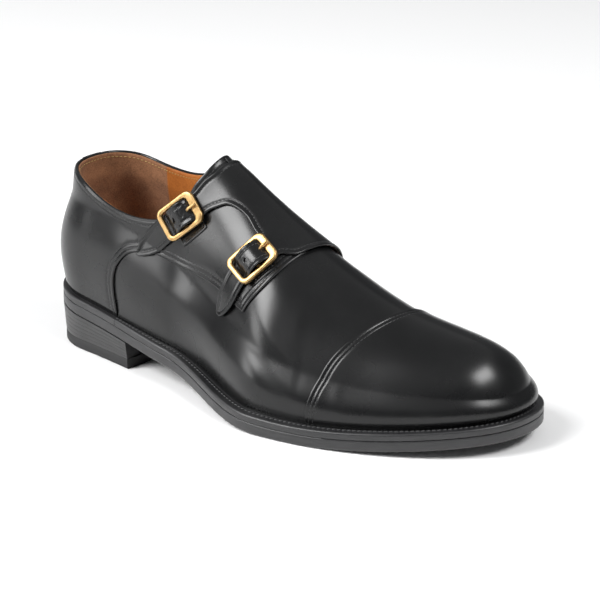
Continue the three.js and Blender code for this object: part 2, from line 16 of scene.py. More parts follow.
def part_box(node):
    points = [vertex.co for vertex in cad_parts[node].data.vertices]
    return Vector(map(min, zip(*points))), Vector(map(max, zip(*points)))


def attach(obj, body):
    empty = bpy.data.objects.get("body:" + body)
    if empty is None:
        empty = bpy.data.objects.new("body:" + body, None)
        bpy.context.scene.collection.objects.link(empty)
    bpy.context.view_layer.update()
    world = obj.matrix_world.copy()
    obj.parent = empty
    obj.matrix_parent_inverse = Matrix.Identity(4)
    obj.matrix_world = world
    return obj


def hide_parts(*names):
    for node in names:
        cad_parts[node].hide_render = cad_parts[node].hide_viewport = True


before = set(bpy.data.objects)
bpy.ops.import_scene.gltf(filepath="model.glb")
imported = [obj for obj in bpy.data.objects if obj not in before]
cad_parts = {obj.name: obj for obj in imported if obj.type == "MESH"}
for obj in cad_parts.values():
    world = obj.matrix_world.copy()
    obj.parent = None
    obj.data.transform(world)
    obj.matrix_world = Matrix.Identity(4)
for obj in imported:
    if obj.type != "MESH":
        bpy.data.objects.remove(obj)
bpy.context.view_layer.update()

# ------------------------------------------------------------------------------------------ Outsole
# One leather sole under the whole foot, thin at the waist, flat under the ball and lifted at the
# toe. Its edge is trimmed square to the welt, blackened and waxed, and the bottom has the same black finish.

OUTER, INNER = -1, 1        # sides of the foot: the buckles are on the outer one
LENGTH = 300.0
EDGE_THICK = 10.0           # welt and outsole together
WELT_THICK = 4.0
GAP = 0.3
BOW, TIP_SHIFT = 8.5, 12.0  # how far the centreline swings out in the middle and in at the toe,
TIP_FROM = 0.55             # from this share of the length on
HALF_WIDTHS = {             # half widths at the heel, waist and ball, with where each lies
    OUTER: dict(heel_x=34, heel=35, waist_x=102, waist=38.5, ball_x=182, ball=59),
    INNER: dict(heel_x=34, heel=36, waist_x=112, waist=31, ball_x=206, ball=52.5),
}
HEEL_POWER, TOE_POWER, TOE_ROUND = 2.3, 2.3, 2.15       # powers that round both ends
COLUMNS = ("x", "feather", "ridge", "square", "taper", "bulge", "outer_ledge", "inner_ledge")
SECTIONS = np.array([
    (0, 33.5, 160, 6.0, .30, .130, 3.0, 3.0),
    (35, 29.5, 159.5, 6.0, .30, .125, 3.0, 3.0),
    (60, 27.0, 158, 6.0, .30, .120, 3.0, 3.0),
    (90, 22.9, 142, 4.6, .33, .105, 4.3, 3.0),
    (110, 19.8, 123.5, 3.8, .33, .095, 5.1, 3.2),
    (130, 16.2, 111, 3.0, .28, .080, 5.9, 3.5),
    (150, 12.9, 99, 2.6, .20, .065, 6.5, 4.0),
    (170, 10.7, 87.5, 2.4, .12, .055, 6.5, 4.8),
    (190, 9.9, 76.1, 2.2, .11, .050, 6.5, 5.6),
    (210, 9.9, 66, 2.12, .145, .050, 6.5, 6.0),
    (230, 10.9, 58.2, 2.02, .165, .050, 6.5, 6.2),
    (250, 12.6, 53.4, 2.02, .125, .050, 6.5, 6.3),
    (270, 14.7, 49.4, 2.12, .05, .060, 6.5, 6.4),
    (285, 16.4, 46, 2.3, 0, .075, 6.5, 6.5),
    (300, 18.0, 38, 2.3, 0, .090, 6.5, 6.5)])


def through(xs, ys, x):
    """A smooth curve through the points xs, ys, read at x."""
    xs, ys = np.asarray(xs, float), np.asarray(ys, float)
    h, slope = np.diff(xs), np.diff(ys) / np.diff(xs)
    inner = (slope[:-1] * h[1:] + slope[1:] * h[:-1]) / (h[:-1] + h[1:])
    tangent = np.concatenate([slope[:1], inner, slope[-1:]])
    x = np.clip(x, xs[0], xs[-1])
    i = np.clip(np.searchsorted(xs, x, side="right") - 1, 0, len(xs) - 2)
    t = (x - xs[i]) / h[i]
    return ((1 + 2 * t) * (1 - t)**2 * ys[i] + t * (1 - t)**2 * h[i] * tangent[i]
            + t * t * (3 - 2 * t) * ys[i + 1] + t * t * (t - 1) * h[i] * tangent[i + 1])


def column(name, x):
    return through(SECTIONS[:, 0], SECTIONS[:, COLUMNS.index(name)], x)


def smooth(t):
    t = np.clip(t, 0, 1)
    return t * t * (3 - 2 * t)


def unit(v):
    return v / (np.linalg.norm(v, axis=-1, keepdims=True) + 1e-12)


def centreline(x):
    t = np.clip(np.asarray(x, float) / LENGTH, 0, 1)
    return -BOW * np.sin(np.pi * t) + TIP_SHIFT * smooth((t - TIP_FROM) / (1 - TIP_FROM))


def half_width(side, x):
    w = HALF_WIDTHS[side]
    x = np.asarray(x, float)
    behind = np.clip((w["heel_x"] - x) / w["heel_x"], 0, 1)
    ahead = np.clip((x - w["ball_x"]) / (LENGTH - w["ball_x"]), 0, 1)
    heel = w["heel"] * (1 - behind**HEEL_POWER)**(1 / HEEL_POWER)
    toe = w["ball"] * (1 - ahead**TOE_POWER)**(1 / TOE_ROUND)
    back, front = (
        w[near] + (w[far] - w[near]) * smooth((x - w[near + "_x"]) / (w[far + "_x"] - w[near + "_x"]))
        for near, far in (("heel", "waist"), ("waist", "ball")))
    middle = np.where(x < w["waist_x"], back, front)
    return np.where(x < w["heel_x"], heel, np.where(x > w["ball_x"], toe, middle))


def sole_edge(side, count, inset=0.0, start=0.0, end=LENGTH):
    """Plan points along one side of the sole edge, moved in by inset, a number or a function of x."""
    turn = np.linspace(*(math.acos(1 - 2 * x / LENGTH) for x in (start, end)), count)

    def plan(angle):
        x = LENGTH / 2 * (1 - np.cos(angle))
        return np.stack([x, centreline(x) + side * half_width(side, x)], -1)

    step = 1e-3
    points = plan(turn)
    run = plan(np.minimum(turn + step, math.pi)) - plan(np.maximum(turn - step, 0))
    run[turn < step] = (0, side)
    run[turn > math.pi - step] = (0, -side)
    run = unit(run)
    depth = inset(points[:, 0]) if callable(inset) else np.full(count, float(inset))
    return points + side * depth[:, None] * np.stack([run[:, 1], -run[:, 0]], -1)


SHIFT = np.array([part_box("outsole")[0][0] * 1000,
                  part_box("outsole")[0][1] * 1000 - sole_edge(OUTER, 400)[:, 1].min(), 0])


def metres(points):
    return (np.asarray(points, float) + SHIFT) * 0.001


def feather(x):
    """Height of the line where the upper meets the welt."""
    return column("feather", x)


def ledge(side, extra=0.0):
    """Width of the welt outside the upper along one side, as a function of x."""
    name = "outer_ledge" if side == OUTER else "inner_ledge"
    return lambda x: column(name, x) + extra


def fill(tree, made, values):
    """Sets the inputs of a node, or links them where the value is a socket."""
    for key, value in values.items():
        if isinstance(value, bpy.types.NodeSocket):
            tree.links.new(value, made.inputs[key])
        else:
            made.inputs[key].default_value = value


def node(tree, kind, values=None, **settings):
    """A new node with its settings and inputs."""
    made = tree.nodes.new(kind)
    for key, value in settings.items():
        setattr(made, key, value)
    fill(tree, made, values or {})
    return made


def ramp(tree, factor, stops):
    """A colour ramp from a factor: stops are (position, colour)."""
    made = node(tree, "ShaderNodeValToRGB", {"Fac": factor})
    elements = made.color_ramp.elements
    while len(elements) < len(stops):
        elements.new(0.5)
    for element, (position, colour) in zip(elements, stops):
        element.position = position
        element.color = (*colour, 1)
    return made.outputs["Color"]


def shader(name):
    """A new material with a bare Principled surface; returns material, tree, surface and place."""
    material = bpy.data.materials.new(name)
    material.use_nodes = True
    tree = material.node_tree
    tree.nodes.clear()
    surface = node(tree, "ShaderNodeBsdfPrincipled")
    node(tree, "ShaderNodeOutputMaterial", {"Surface": surface.outputs["BSDF"]})
    return material, tree, surface, node(tree, "ShaderNodeTexCoord").outputs["Object"]


def dress(tree, surface, **inputs):
    """Fills the inputs of a surface; an underscore stands for a space."""
    fill(tree, surface, {key.replace("_", " "): value for key, value in inputs.items()})


def noise(tree, place, scale, detail=3, **more):
    """A noise pattern from 0 to 1."""
    values = {"Vector": place, "Scale": scale, "Detail": detail, **more}
    return node(tree, "ShaderNodeTexNoise", values).outputs["Fac"]


def spread(tree, factor, low, high, start=0.3, end=0.7):
    """A pattern between start and end taken to the range from low to high."""
    return node(tree, "ShaderNodeMapRange", {"Value": factor, "From Min": start, "From Max": end,
                                             "To Min": low, "To Max": high}).outputs["Result"]


def bumped(tree, height, strength, distance):
    """The normal of a surface raised by a pattern, distance in metres."""
    values = {"Height": height, "Strength": strength, "Distance": distance}
    return node(tree, "ShaderNodeBump", values).outputs["Normal"]


def waxed_edge(name, dark, light, layer, roughness):
    """Blackened sole leather: faint horizontal fibres, uneven wax and a soft shine."""
    material, tree, surface, place = shader(name)
    flat = node(tree, "ShaderNodeMapping", {"Vector": place, "Scale": (1, 1, layer)}).outputs["Vector"]
    fibres = noise(tree, flat, 130, 6)
    dress(tree, surface, Base_Color=ramp(tree, fibres, [(0.3, dark), (0.75, light)]),
          Roughness=spread(tree, noise(tree, place, 55), roughness - 0.07, roughness + 0.09),
          Normal=bumped(tree, fibres, 0.35, 0.0002), Coat_Weight=0.25, Coat_Roughness=0.3)
    return material


EDGE_BLACK = waxed_edge("waxed_sole_edge", (0.010, 0.010, 0.011), (0.022, 0.022, 0.023), 9, 0.42)


MERGE = 4e-6                # points nearer than this, in metres, are one


def add_piece(name, points, faces, material, slot, *nodes, sharp=35):
    """Makes a mesh piece from points in millimetres, merges its doubles and ties it to the frame."""
    mesh = bpy.data.meshes.new(name)
    mesh.from_pydata(metres(points).tolist(), [], [tuple(face) for face in faces])
    work = bmesh.new()
    work.from_mesh(mesh)
    bmesh.ops.remove_doubles(work, verts=work.verts, dist=MERGE)
    bmesh.ops.dissolve_degenerate(work, edges=work.edges, dist=1e-7)
    bmesh.ops.recalc_face_normals(work, faces=work.faces)
    work.to_mesh(mesh)
    work.free()
    mesh.shade_smooth()
    mesh.set_sharp_from_angle(angle=math.radians(sharp))
    mesh.materials.append(material)
    piece = bpy.data.objects.new(name, mesh)
    bpy.context.scene.collection.objects.link(piece)
    tie(piece, slot, *nodes)


def tie(piece, slot, *nodes):
    """Puts a piece on the shoe's one body and hides the nodes it stands for; slot is not used."""
    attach(piece, "root")
    if nodes:
        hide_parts(*nodes)


def quads(rows, wide, closed=False):
    """Faces of a grid of rows by wide points; closed joins the last column to the first."""
    i, j = np.meshgrid(np.arange(rows - 1), np.arange(wide if closed else wide - 1), indexing="ij")
    k = (j + 1) % wide
    return np.stack([i * wide + j, (i + 1) * wide + j, (i + 1) * wide + k, i * wide + k], -1).reshape(-1, 4)


def slab(count, profile, start=0.0, end=LENGTH, breast=1):
    """A closed slab across the foot. profile lists its rings (inset, height) from the middle of the
    top, over the edge, to the middle of the bottom; breast is the number of steps across its front."""
    rings = []
    for inset, height in profile:
        outer, inner = (sole_edge(side, count, inset, start, end) for side in (OUTER, INNER))
        across = inner[-1] + (outer[-1] - inner[-1]) * np.linspace(0, 1, breast + 1)[1:-1, None]
        plan = np.concatenate([outer[::-1], inner[1:], across])
        rings.append(np.column_stack([plan, height(plan[:, 0])]))
    wide = len(rings[0])
    faces = quads(len(rings), wide, closed=True).tolist()
    last = (len(rings) - 1) * wide
    for i in range(count - 1):
        cap = (count - 1 - i, count - 1 + i, count + i, count - 2 - i)
        faces.append(cap)
        faces.append(tuple(last + k for k in reversed(cap)))
    return np.concatenate(rings), faces


def under_welt(x):
    return feather(x) - WELT_THICK - 0.02


def tread(x):
    return np.maximum(feather(x) - EDGE_THICK, 0)


def drop(height, by):
    return lambda x: height(x) - by


OUTSOLE_RINGS = [
    (9, under_welt), (0.5, under_welt), (0.12, drop(under_welt, 0.12)), (0, drop(under_welt, 0.4)),
    (0, drop(under_welt, 1.6)), (0, drop(under_welt, 3.2)), (0, drop(tread, -1.3)),
    (0.15, drop(tread, -0.75)), (0.5, drop(tread, -0.3)), (1.1, drop(tread, -0.06)), (2, tread),
    (9, tread)]
add_piece("outsole_leather", *slab(190, OUTSOLE_RINGS), EDGE_BLACK, "sole_edge", "outsole", sharp=50)

# --------------------------------------------------------------------------------------- Heel block
# Leather lifts, pasted and nailed one on another, then rasped smooth and blackened, so that only
# fine lines show between them. A rubber top piece takes the wear. The breast is cut straight.

HEEL_LENGTH = 71.0
HEEL_PITCH = 1.2            # how far the heel tapers in down to the floor
TOP_PIECE = 6.0
LIFTS = 6
HEEL_BLACK = waxed_edge("waxed_heel_lifts", (0.012, 0.012, 0.013), (0.028, 0.027, 0.027), 30, 0.45)


def rubber(name):
    """Black top-piece rubber: matt, with a fine moulded grain."""
    material, tree, surface, place = shader(name)
    patches = noise(tree, place, 60, 4)
    colour = ramp(tree, patches, [(0.3, (0.012, 0.012, 0.012)), (0.8, (0.024, 0.024, 0.025))])
    dress(tree, surface, Base_Color=colour, Roughness=spread(tree, patches, 0.55, 0.8, 0, 1),
          Normal=bumped(tree, noise(tree, place, 1400), 0.3, 0.0001))
    return material


def seat(x):
    """Underside of the outsole over the heel, where the first lift sits."""
    return tread(x) - 0.02


def heel_ring(share, extra=0.0):
    """Ring a share of the way down from the seat to the top piece, with the heel's taper."""
    return (HEEL_PITCH * share + extra,
            lambda x, s=share: seat(x) + (TOP_PIECE - seat(x)) * s)


heel_rings = [heel_ring(0, 8)]
for lift in range(LIFTS):
    for part, groove in ((0.0, 0.14), (0.04, 0.02), (0.14, 0.0), (0.5, 0.0), (0.86, 0.0), (0.96, 0.02)):
        heel_rings.append(heel_ring((lift + part) / LIFTS, groove))
heel_rings += [heel_ring(1, 0.22), heel_ring(1, 8)]
add_piece("heel_lifts", *slab(60, heel_rings, end=HEEL_LENGTH, breast=10), HEEL_BLACK, "heel_leather",
          "heel_stack", sharp=40)


def floor_ring(inset, height):
    return (HEEL_PITCH + inset, lambda x: np.full(np.shape(x), height))


TOP_PIECE_RINGS = [floor_ring(8, TOP_PIECE - 0.05), floor_ring(0.25, TOP_PIECE - 0.05),
                   floor_ring(0.0, TOP_PIECE - 0.3), floor_ring(0, 3), floor_ring(0, 0.9),
                   floor_ring(0.25, 0.3), floor_ring(0.8, 0.05), floor_ring(1.4, 0), floor_ring(8, 0)]
add_piece("top_piece_rubber", *slab(60, TOP_PIECE_RINGS, end=HEEL_LENGTH, breast=10),
          rubber("top_piece_rubber"), "top_piece", "top_lift", sharp=50)

# ----------------------------------------------------------------------------------- Welt and rand
# The welt is a strip of leather sewn to the upper round the forefoot, with a row of stitches down
# to the outsole on its ledge and a bevelled lip. Behind the breast a narrower rand takes over.

RIM = 2.7                   # how far both reach in under the upper
RAND_END = 62.0


def strip(profile, count, start, end, last):
    """A closed strip along the sole edge, up one side and back on the side last. profile lists
    (inset, reach, height): the inset from the edge plus a share of the ledge, and the height over
    the feather line."""
    lines = []
    for inset, reach, height in profile:
        run = []
        for side in (OUTER, INNER):
            plan = sole_edge(side, count, lambda x: inset + reach * ledge(side)(x), start, end)
            run.append(plan[::-1] if side == last else plan)
        plan = np.concatenate([run[0], run[1][1:]])
        lines.append(np.column_stack([plan, feather(plan[:, 0]) + height]))
    rows, wide = len(lines[0]), len(lines)
    points = np.stack(lines, 1).reshape(-1, 3)
    faces = quads(rows, wide, closed=True).tolist()
    faces.append(tuple(range(wide)))
    faces.append(tuple((rows - 1) * wide + k for k in reversed(range(wide))))
    return points, faces


WELT_PROFILE = [
    (RIM, 1, -0.02), (0.4, 1, -0.02), (-0.3, 1, -0.3), (-0.9, 1, -0.42), (-1.5, 1, -0.25), (0.4, 0.55, -0.12),
    (0.35, 0.45, -0.24), (0.3, 0.36, -0.12), (1.1, 0, -0.02), (0.55, 0, -0.16), (0.2, 0, -0.5), (0.03, 0, -1.0),
    (0, 0, -1.6), (0, 0, -2.7), (0.02, 0, -3.4), (0.18, 0, -3.75), (0.5, 0, -WELT_THICK), (RIM, 1, -WELT_THICK)]
RAND_PROFILE = [
    (RIM, 1, -0.02), (0.3, 1, -0.02), (-0.3, 1, -0.22), (0.5, 0.3, -0.1), (0.35, 0, -0.25), (0.08, 0, -0.6),
    (0, 0, -1.1), (0, 0, -2.9), (0.05, 0, -3.4), (0.2, 0, -3.8), (0.5, 0, -WELT_THICK), (RIM, 1, -WELT_THICK)]
add_piece("welt_strip", *strip(WELT_PROFILE, 210, RAND_END, LENGTH, INNER), EDGE_BLACK,
          "sole_edge", "welt", sharp=50)
add_piece("heel_seat_rand", *strip(RAND_PROFILE, 60, 0, RAND_END - GAP, OUTER), EDGE_BLACK,
          "sole_edge", "heel_rand", sharp=50)

# ------------------------------------------------------------------------------------ Insole and sock
# A firm leather insole fills the ring of the welt and carries the foot. A thin sock of tan lining
# leather is glued over it, dished a little by wear and rounded at its edge.

INSOLE_RISE = 3.0           # of the sock's edge over the feather line
SOCK_INSET = 2.15           # in from the upper's foot
SOCK_DISH = 0.9             # how much lower its middle lies
SOCK_DROP, SOCK_EDGE = 0.8, 1.6         # how far its edge rounds off, and over what width


def maths(tree, operation, a, b):
    """A sum, product or other operation on two values."""
    return node(tree, "ShaderNodeMath", {0: a, 1: b}, operation=operation).outputs[0]


def lining_leather(name, deep, pale, roughness, nap):
    """Vegetable-tanned lining: uneven tan, fine pores; nap makes it suede-like."""
    material, tree, surface, place = shader(name)
    fine = noise(tree, place, 1500 if nap else 900, 5)
    half = maths(tree, "MULTIPLY", maths(tree, "ADD", noise(tree, place, 70, 5, Roughness=0.6), fine), 0.5)
    pores = node(tree, "ShaderNodeTexVoronoi", {"Vector": place, "Scale": 1100}).outputs["Distance"]
    dress(tree, surface, Base_Color=ramp(tree, half, [(0.36, deep), (0.62, pale)]),
          Normal=bumped(tree, fine if nap else pores, 0.6 if nap else 0.25, 0.00012),
          Roughness=roughness, Sheen_Weight=0.08 if nap else 0.02, Sheen_Roughness=0.5)
    return material


TAN = lining_leather("tan_lining", (0.30, 0.085, 0.012), (0.46, 0.15, 0.028), 0.45, nap=False)
HEEL_GRIP = lining_leather("brown_heel_grip", (0.15, 0.062, 0.025), (0.36, 0.165, 0.075), 0.9, nap=True)


def sock(count=150, across=14):
    """Slab inside the welt with the sock's own soft dish."""
    outer, inner = (sole_edge(side, count, ledge(side, SOCK_INSET)) for side in (OUTER, INNER))
    s = np.linspace(0, 1, across + 1)
    plan = outer[:, None] + (inner - outer)[:, None] * s[None, :, None]
    rise = INSOLE_RISE - SOCK_DISH * (4 * s * (1 - s))**0.8
    width = np.linalg.norm(inner - outer, axis=1)[:, None]
    edge = np.minimum(s, 1 - s)[None, :] * width
    rounding = SOCK_DROP * np.clip(1 - edge / SOCK_EDGE, 0, 1)**2
    top = np.dstack([plan, feather(plan[..., 0]) + rise[None, :] - rounding])
    bottom = np.dstack([plan, feather(plan[..., 0]) - WELT_THICK])
    return top, bottom


def free_edges(faces):
    """Edges used by one face only, in the direction of that face."""
    seen = {}
    for face in faces:
        for a, b in zip(face, (*face[1:], face[0])):
            if a != b:
                key = (min(a, b), max(a, b))
                seen[key] = None if key in seen else (a, b)
    return [edge for edge in seen.values() if edge]


def shell(faces, outside, inside, rim=5):
    """A closed skin: two sheets with the same faces, joined round every free edge by a rounded rim."""
    outside, inside = (np.asarray(p, float).reshape(-1, 3) for p in (outside, inside))
    _, first, same = np.unique(np.round(outside, 2), axis=0, return_index=True, return_inverse=True)
    same = first[same.reshape(-1)]
    joined = []
    for face in faces:
        face = [int(same[k]) for k in face]
        face = [k for n, k in enumerate(face) if k != face[n - 1]]
        if len(face) > 2:
            joined.append(tuple(face))
    edges = free_edges(joined)
    follow = {a: b for a, b in edges}
    before = {b: a for a, b in edges}
    count = len(outside)
    points = [outside, inside]
    rims = {}
    extra = []
    for a in follow:
        back, ahead = before.get(a, a), follow[a]
        run = outside[ahead] - outside[back]
        through_wall = outside[a] - inside[a]
        thick = np.linalg.norm(through_wall)
        away = unit(np.cross(run, through_wall))
        middle = (outside[a] + inside[a]) / 2
        rims[a] = [a, *range(2 * count + len(extra), 2 * count + len(extra) + rim - 1), count + a]
        for turn in (math.pi * n / rim for n in range(1, rim)):
            extra.append(middle + through_wall / 2 * math.cos(turn) + away * thick / 2 * math.sin(turn))
    if extra:
        points.append(np.array(extra))
    result = list(joined) + [tuple(count + k for k in reversed(face)) for face in joined]
    for a, b in edges:
        for n in range(rim):
            result.append((rims[a][n], rims[a][n + 1], rims[b][n + 1], rims[b][n]))
    return np.concatenate(points), result


sock_top, sock_bottom = sock()
sock_faces = quads(*sock_top.shape[:2])
add_piece("insole_and_sock", *shell(sock_faces, sock_top, sock_bottom, rim=1), TAN,
          "lining", "insole", sharp=50)

# --------------------------------------------------------------------------------------- The upper
# The vamp is one piece of black calf, stretched over a last, lasted in under the feather line and
# hollow, open at the collar. The last's sections come from the length, the ball width, the instep
# ridge and the height of the heel, and fan out round the heel and the toe.

BULGE_TOP, BULGE_EASE = 0.42, 1.2       # share of the height that bulges, and how softly
FAN_HEEL, FAN_TOE, FAN_LENGTH = 33.0, 27.0, 80.0
FAN_EASE = 1.3
STATIONS, STEPS = 300, 90               # sections of the last, and steps in each half of one


def run_along(places, axis=0):
    """Distance run along lines of places, from 0."""
    steps = np.linalg.norm(np.diff(places, axis=axis), axis=-1)
    return np.concatenate([np.zeros_like(np.take(steps, [0], axis)), np.cumsum(steps, axis)], axis)


def half_sections(side, stations, steps):
    """Half sections of the last on one side, feather line to ridge, in equal steps of length."""
    feet = {s: sole_edge(s, stations, ledge(s)) for s in (OUTER, INNER)}
    foot = feet[side]
    along = (feet[OUTER][:, 0] + feet[INNER][:, 0]) / 2
    ridge_x = (along + FAN_HEEL * (1 - smooth((along - along[0]) / FAN_LENGTH))**FAN_EASE
               - FAN_TOE * np.clip((along - along[-1] + FAN_LENGTH) / FAN_LENGTH, 0, 1)**2)
    ridge_y = centreline(ridge_x)
    k = np.sin(np.linspace(0, math.pi / 2, 240))[None, :]
    square, taper, bulge = (column(name, along)[:, None] for name in ("square", "taper", "bulge"))
    low = feather(foot[:, 0])[:, None]
    swell = bulge * np.sin(math.pi * np.minimum(k / BULGE_TOP, 1))**BULGE_EASE
    w = (1 - taper * k + swell) * np.sqrt(np.maximum(1 - k**square, 0))
    x = ridge_x[:, None] + (foot[:, :1] - ridge_x[:, None]) * w
    y = ridge_y[:, None] + (foot[:, 1:] - ridge_y[:, None]) * w
    curve = np.stack([x, y, low + (column("ridge", x) - low) * k], -1)
    run = run_along(curve, 1)
    even = np.empty((stations, steps + 1, 3))
    for i in range(stations):
        for axis in range(3):
            even[i, :, axis] = np.interp(np.linspace(0, run[i, -1], steps + 1), run[i], curve[i, :, axis])
    return along, foot, even, run[:, -1]


ALONG, foot_outer, outer_half, girth_outer = half_sections(OUTER, STATIONS, STEPS)
_, foot_inner, inner_half, girth_inner = half_sections(INNER, STATIONS, STEPS)
LAST = np.concatenate([outer_half, inner_half[:, -2::-1]], 1)
ARC = (run_along(foot_outer) + run_along(foot_inner)) / 2


def sheet_normals(points):
    """Outward normals of the last; the end rows are folded, so their neighbours lie across the fold."""
    folded = np.concatenate([points[1:2, ::-1], points, points[-2:-1, ::-1]])
    along = folded[2:] - folded[:-2]
    around = np.concatenate([points[:, 1:2] - points[:, :1], points[:, 2:] - points[:, :-2],
                             points[:, -1:] - points[:, -2:-1]], 1)
    normal = np.cross(along, around)
    middle = points.shape[1] // 2
    for end, near in ((0, 1), (-1, -2)):
        normal[end, middle] = normal[near, middle]
    return unit(normal)


AWAY = sheet_normals(LAST)


def station(x):
    """Length along the foot of the section whose feather points are at x."""
    return np.interp(x, ALONG, ARC)


def girth(a, side):
    return np.interp(a, ARC, girth_outer if side == OUTER else girth_inner)


def girth_at(a, g):
    """Girth of the half of the last that g lies on."""
    return np.where(g < 0, girth(a, OUTER), girth(a, INNER))


padded = np.concatenate([LAST[1:2, ::-1], LAST, LAST[-2:-1, ::-1]])
padded = np.concatenate([2 * padded[:, :1] - padded[:, 1:2], padded, 2 * padded[:, -1:] - padded[:, -2:-1]], 1)


def taps(t):
    """Weights of the four grid lines round a place t of the way between the middle two."""
    return ((-t + 2 * t**2 - t**3) / 2, (2 - 5 * t**2 + 3 * t**3) / 2,
            (t + 4 * t**2 - 3 * t**3) / 2, (t**3 - t**2) / 2)


def on_last(a, g, height=0.0, with_normal=False):
    """Places on the last: a is the length along the feather line from the back seam, g the distance
    round the section from the ridge, minus on the outer side, and height the distance off it."""
    a, g, height = (np.asarray(v, float) for v in np.broadcast_arrays(a, g, height))
    r = np.interp(a, ARC, np.arange(STATIONS))
    i = np.clip(np.floor(r).astype(int), 0, STATIONS - 2)
    point, normal = 0, 0
    for m, row_weight in enumerate(taps(r - i)):
        row = i + m - 1
        near = np.clip(row, 0, STATIONS - 1)
        whole = np.where(g < 0, girth_outer[near], girth_inner[near])
        c = STEPS * (1 + np.clip(g / whole, -1, 1))
        j = np.clip(np.floor(c).astype(int), 0, 2 * STEPS - 1)
        for n, weight in enumerate(taps(c - j)):
            point = point + (row_weight * weight)[..., None] * padded[row + 1, j + n]
        f = (c - j)[..., None]
        blend = np.maximum(1 - np.abs(r - i - (m - 1)), 0)[..., None]
        normal = normal + blend * (AWAY[near, j] * (1 - f) + AWAY[near, j + 1] * f)
    normal = unit(normal)
    place = point + normal * (height + relief(a, g))[..., None]
    return (place, normal) if with_normal else place


# Soft troughs and ridges of the worked leather: middle (x, g), half lengths along and round, the
# turn of the long way in degrees, and the height.
FOLDS = [
    (176, -70, 26, 5, -18, -0.45), (188, -58, 24, 4, -14, 0.25), (150, -84, 22, 6, 12, 0.3),
    (197, -34, 4, 24, 8, -0.1), (191, -28, 3.5, 22, 8, 0.08), (186, 34, 4, 24, -8, -0.12),
    (193, 40, 3.5, 20, -6, 0.08), (120, -100, 26, 9, 6, -0.45), (72, -112, 9, 14, 0, 0.25),
    (219, -62, 2.4, 9, 14, -0.12), (224, -60, 2.2, 8, 14, 0.09), (203, -66, 2.4, 10, 10, -0.1),
    (199, -62, 2.2, 9, 12, 0.07), (148, 66, 9, 1.8, -12, -0.3), (151, 70, 8, 1.6, -16, -0.22),
    (141, -62, 5, 1.5, 30, -0.1), (88, -80, 4, 1.3, 24, -0.08), (30, -120, 14, 10, 0, -0.3)]


def relief(a, g):
    """Height of the worked-in folds at a place on the last."""
    total = np.zeros(np.shape(a))
    for x, at, long_half, short_half, turn, height in FOLDS:
        c, s = math.cos(math.radians(turn)), math.sin(math.radians(turn))
        da, dg = a - station(x), g - at
        u, v = (da * c + dg * s) / long_half, (dg * c - da * s) / short_half
        total = total + height * np.exp(-(u * u + v * v))
    return total


TOPLINE = {                 # height of the collar seen from the side
    OUTER: ((-20, 8, 18, 30, 42, 60, 76, 91, 101, 109, 115, 119),
            (100, 100, 99, 95.5, 90.5, 86.5, 86, 88.5, 93, 101, 110, 126)),
    INNER: ((-20, 8, 20, 35, 52, 66, 80, 93, 104, 112, 115),
            (100, 100, 98.5, 96, 95, 96, 99.5, 105, 113, 121, 128)),
}


def collar_girths(side):
    """For every station, how far round from the ridge the collar lies; 0 where there is no opening."""
    half = outer_half if side == OUTER else inner_half
    whole = girth_outer if side == OUTER else girth_inner
    above = half[..., 2] - through(*TOPLINE[side], half[..., 0])
    result = np.zeros(STATIONS)
    for i in range(STATIONS):
        over = np.nonzero(above[i] > 0)[0]
        if len(over) and half[i, over[0], 0] < TOPLINE[side][0][-1]:
            k = over[0]
            f = k - above[i, k] / (above[i, k] - above[i, k - 1])
            result[i] = whole[i] * (1 - f / STEPS)
    return result


COLLAR = {side: collar_girths(side) for side in (OUTER, INNER)}


def collar(side, a, below=0.0):
    """Distance round from the ridge to the collar at length a, lowered by below."""
    return np.interp(a, ARC, COLLAR[side]) + below


def hose(first, last, below, outside, inside, columns=56):
    """The two skins of the upper between two stations, from the feather line up to the collar."""
    rows = np.arange(first, last)
    a = ARC[rows][:, None]
    halves = []
    for side in (OUTER, INNER):
        whole = girth(a, side)
        cut = COLLAR[side][rows][:, None]
        top = np.where(cut > 0, np.minimum(cut + below, whole), 0)
        share = np.linspace(0, 1, columns)[None, :]
        halves.append(side * (whole + (top - whole) * share))
    skins = []
    for height in (outside, inside):
        outer, inner = (on_last(np.broadcast_to(a, g.shape), g, height) for g in halves)
        shared = (COLLAR[OUTER][rows] <= 0) & (COLLAR[INNER][rows] <= 0)
        inner[shared, -1] = outer[shared, -1]       # the halves meet along the ridge
        for end in [0] * (first == 0) + [-1] * (last == STATIONS):
            inner[end] = outer[end]                 # and at the heel and the toe
        skins.append([outer, inner])
    grid = quads(len(rows), columns)
    faces = np.concatenate([grid, grid[:, ::-1] + len(rows) * columns]).tolist()
    return (faces, *(np.concatenate([half.reshape(-1, 3) for half in pair]) for pair in skins))


def calf(name):
    """Black calf, polished: fine pores, a soft cloudy shine and a thin coat of wax."""
    material, tree, surface, place = shader(name)
    warp = node(tree, "ShaderNodeTexNoise", {"Vector": place, "Scale": 160, "Detail": 2}).outputs["Color"]
    bent = node(tree, "ShaderNodeVectorMath", {0: warp, 1: (0.004, 0.004, 0.004)}, operation="MULTIPLY")
    moved = node(tree, "ShaderNodeVectorMath", {0: place, 1: bent.outputs[0]}, operation="ADD")
    pores = node(tree, "ShaderNodeTexVoronoi", {"Vector": moved.outputs[0], "Scale": 1300},
                 feature="DISTANCE_TO_EDGE")
    clouds = noise(tree, place, 26, 4)
    grain = maths(tree, "MULTIPLY", noise(tree, place, 900, 4), 0.08)
    height = maths(tree, "ADD", maths(tree, "MINIMUM", pores.outputs["Distance"], 0.12), grain)
    colour = ramp(tree, clouds, [(0.3, (0.0035, 0.0036, 0.0038)), (0.7, (0.006, 0.0061, 0.0064))])
    dress(tree, surface, Base_Color=colour, Roughness=spread(tree, clouds, 0.22, 0.31),
          Normal=bumped(tree, height, 0.12, 0.00007), Coat_Weight=0.06, Coat_Roughness=0.2, IOR=1.42)
    return material


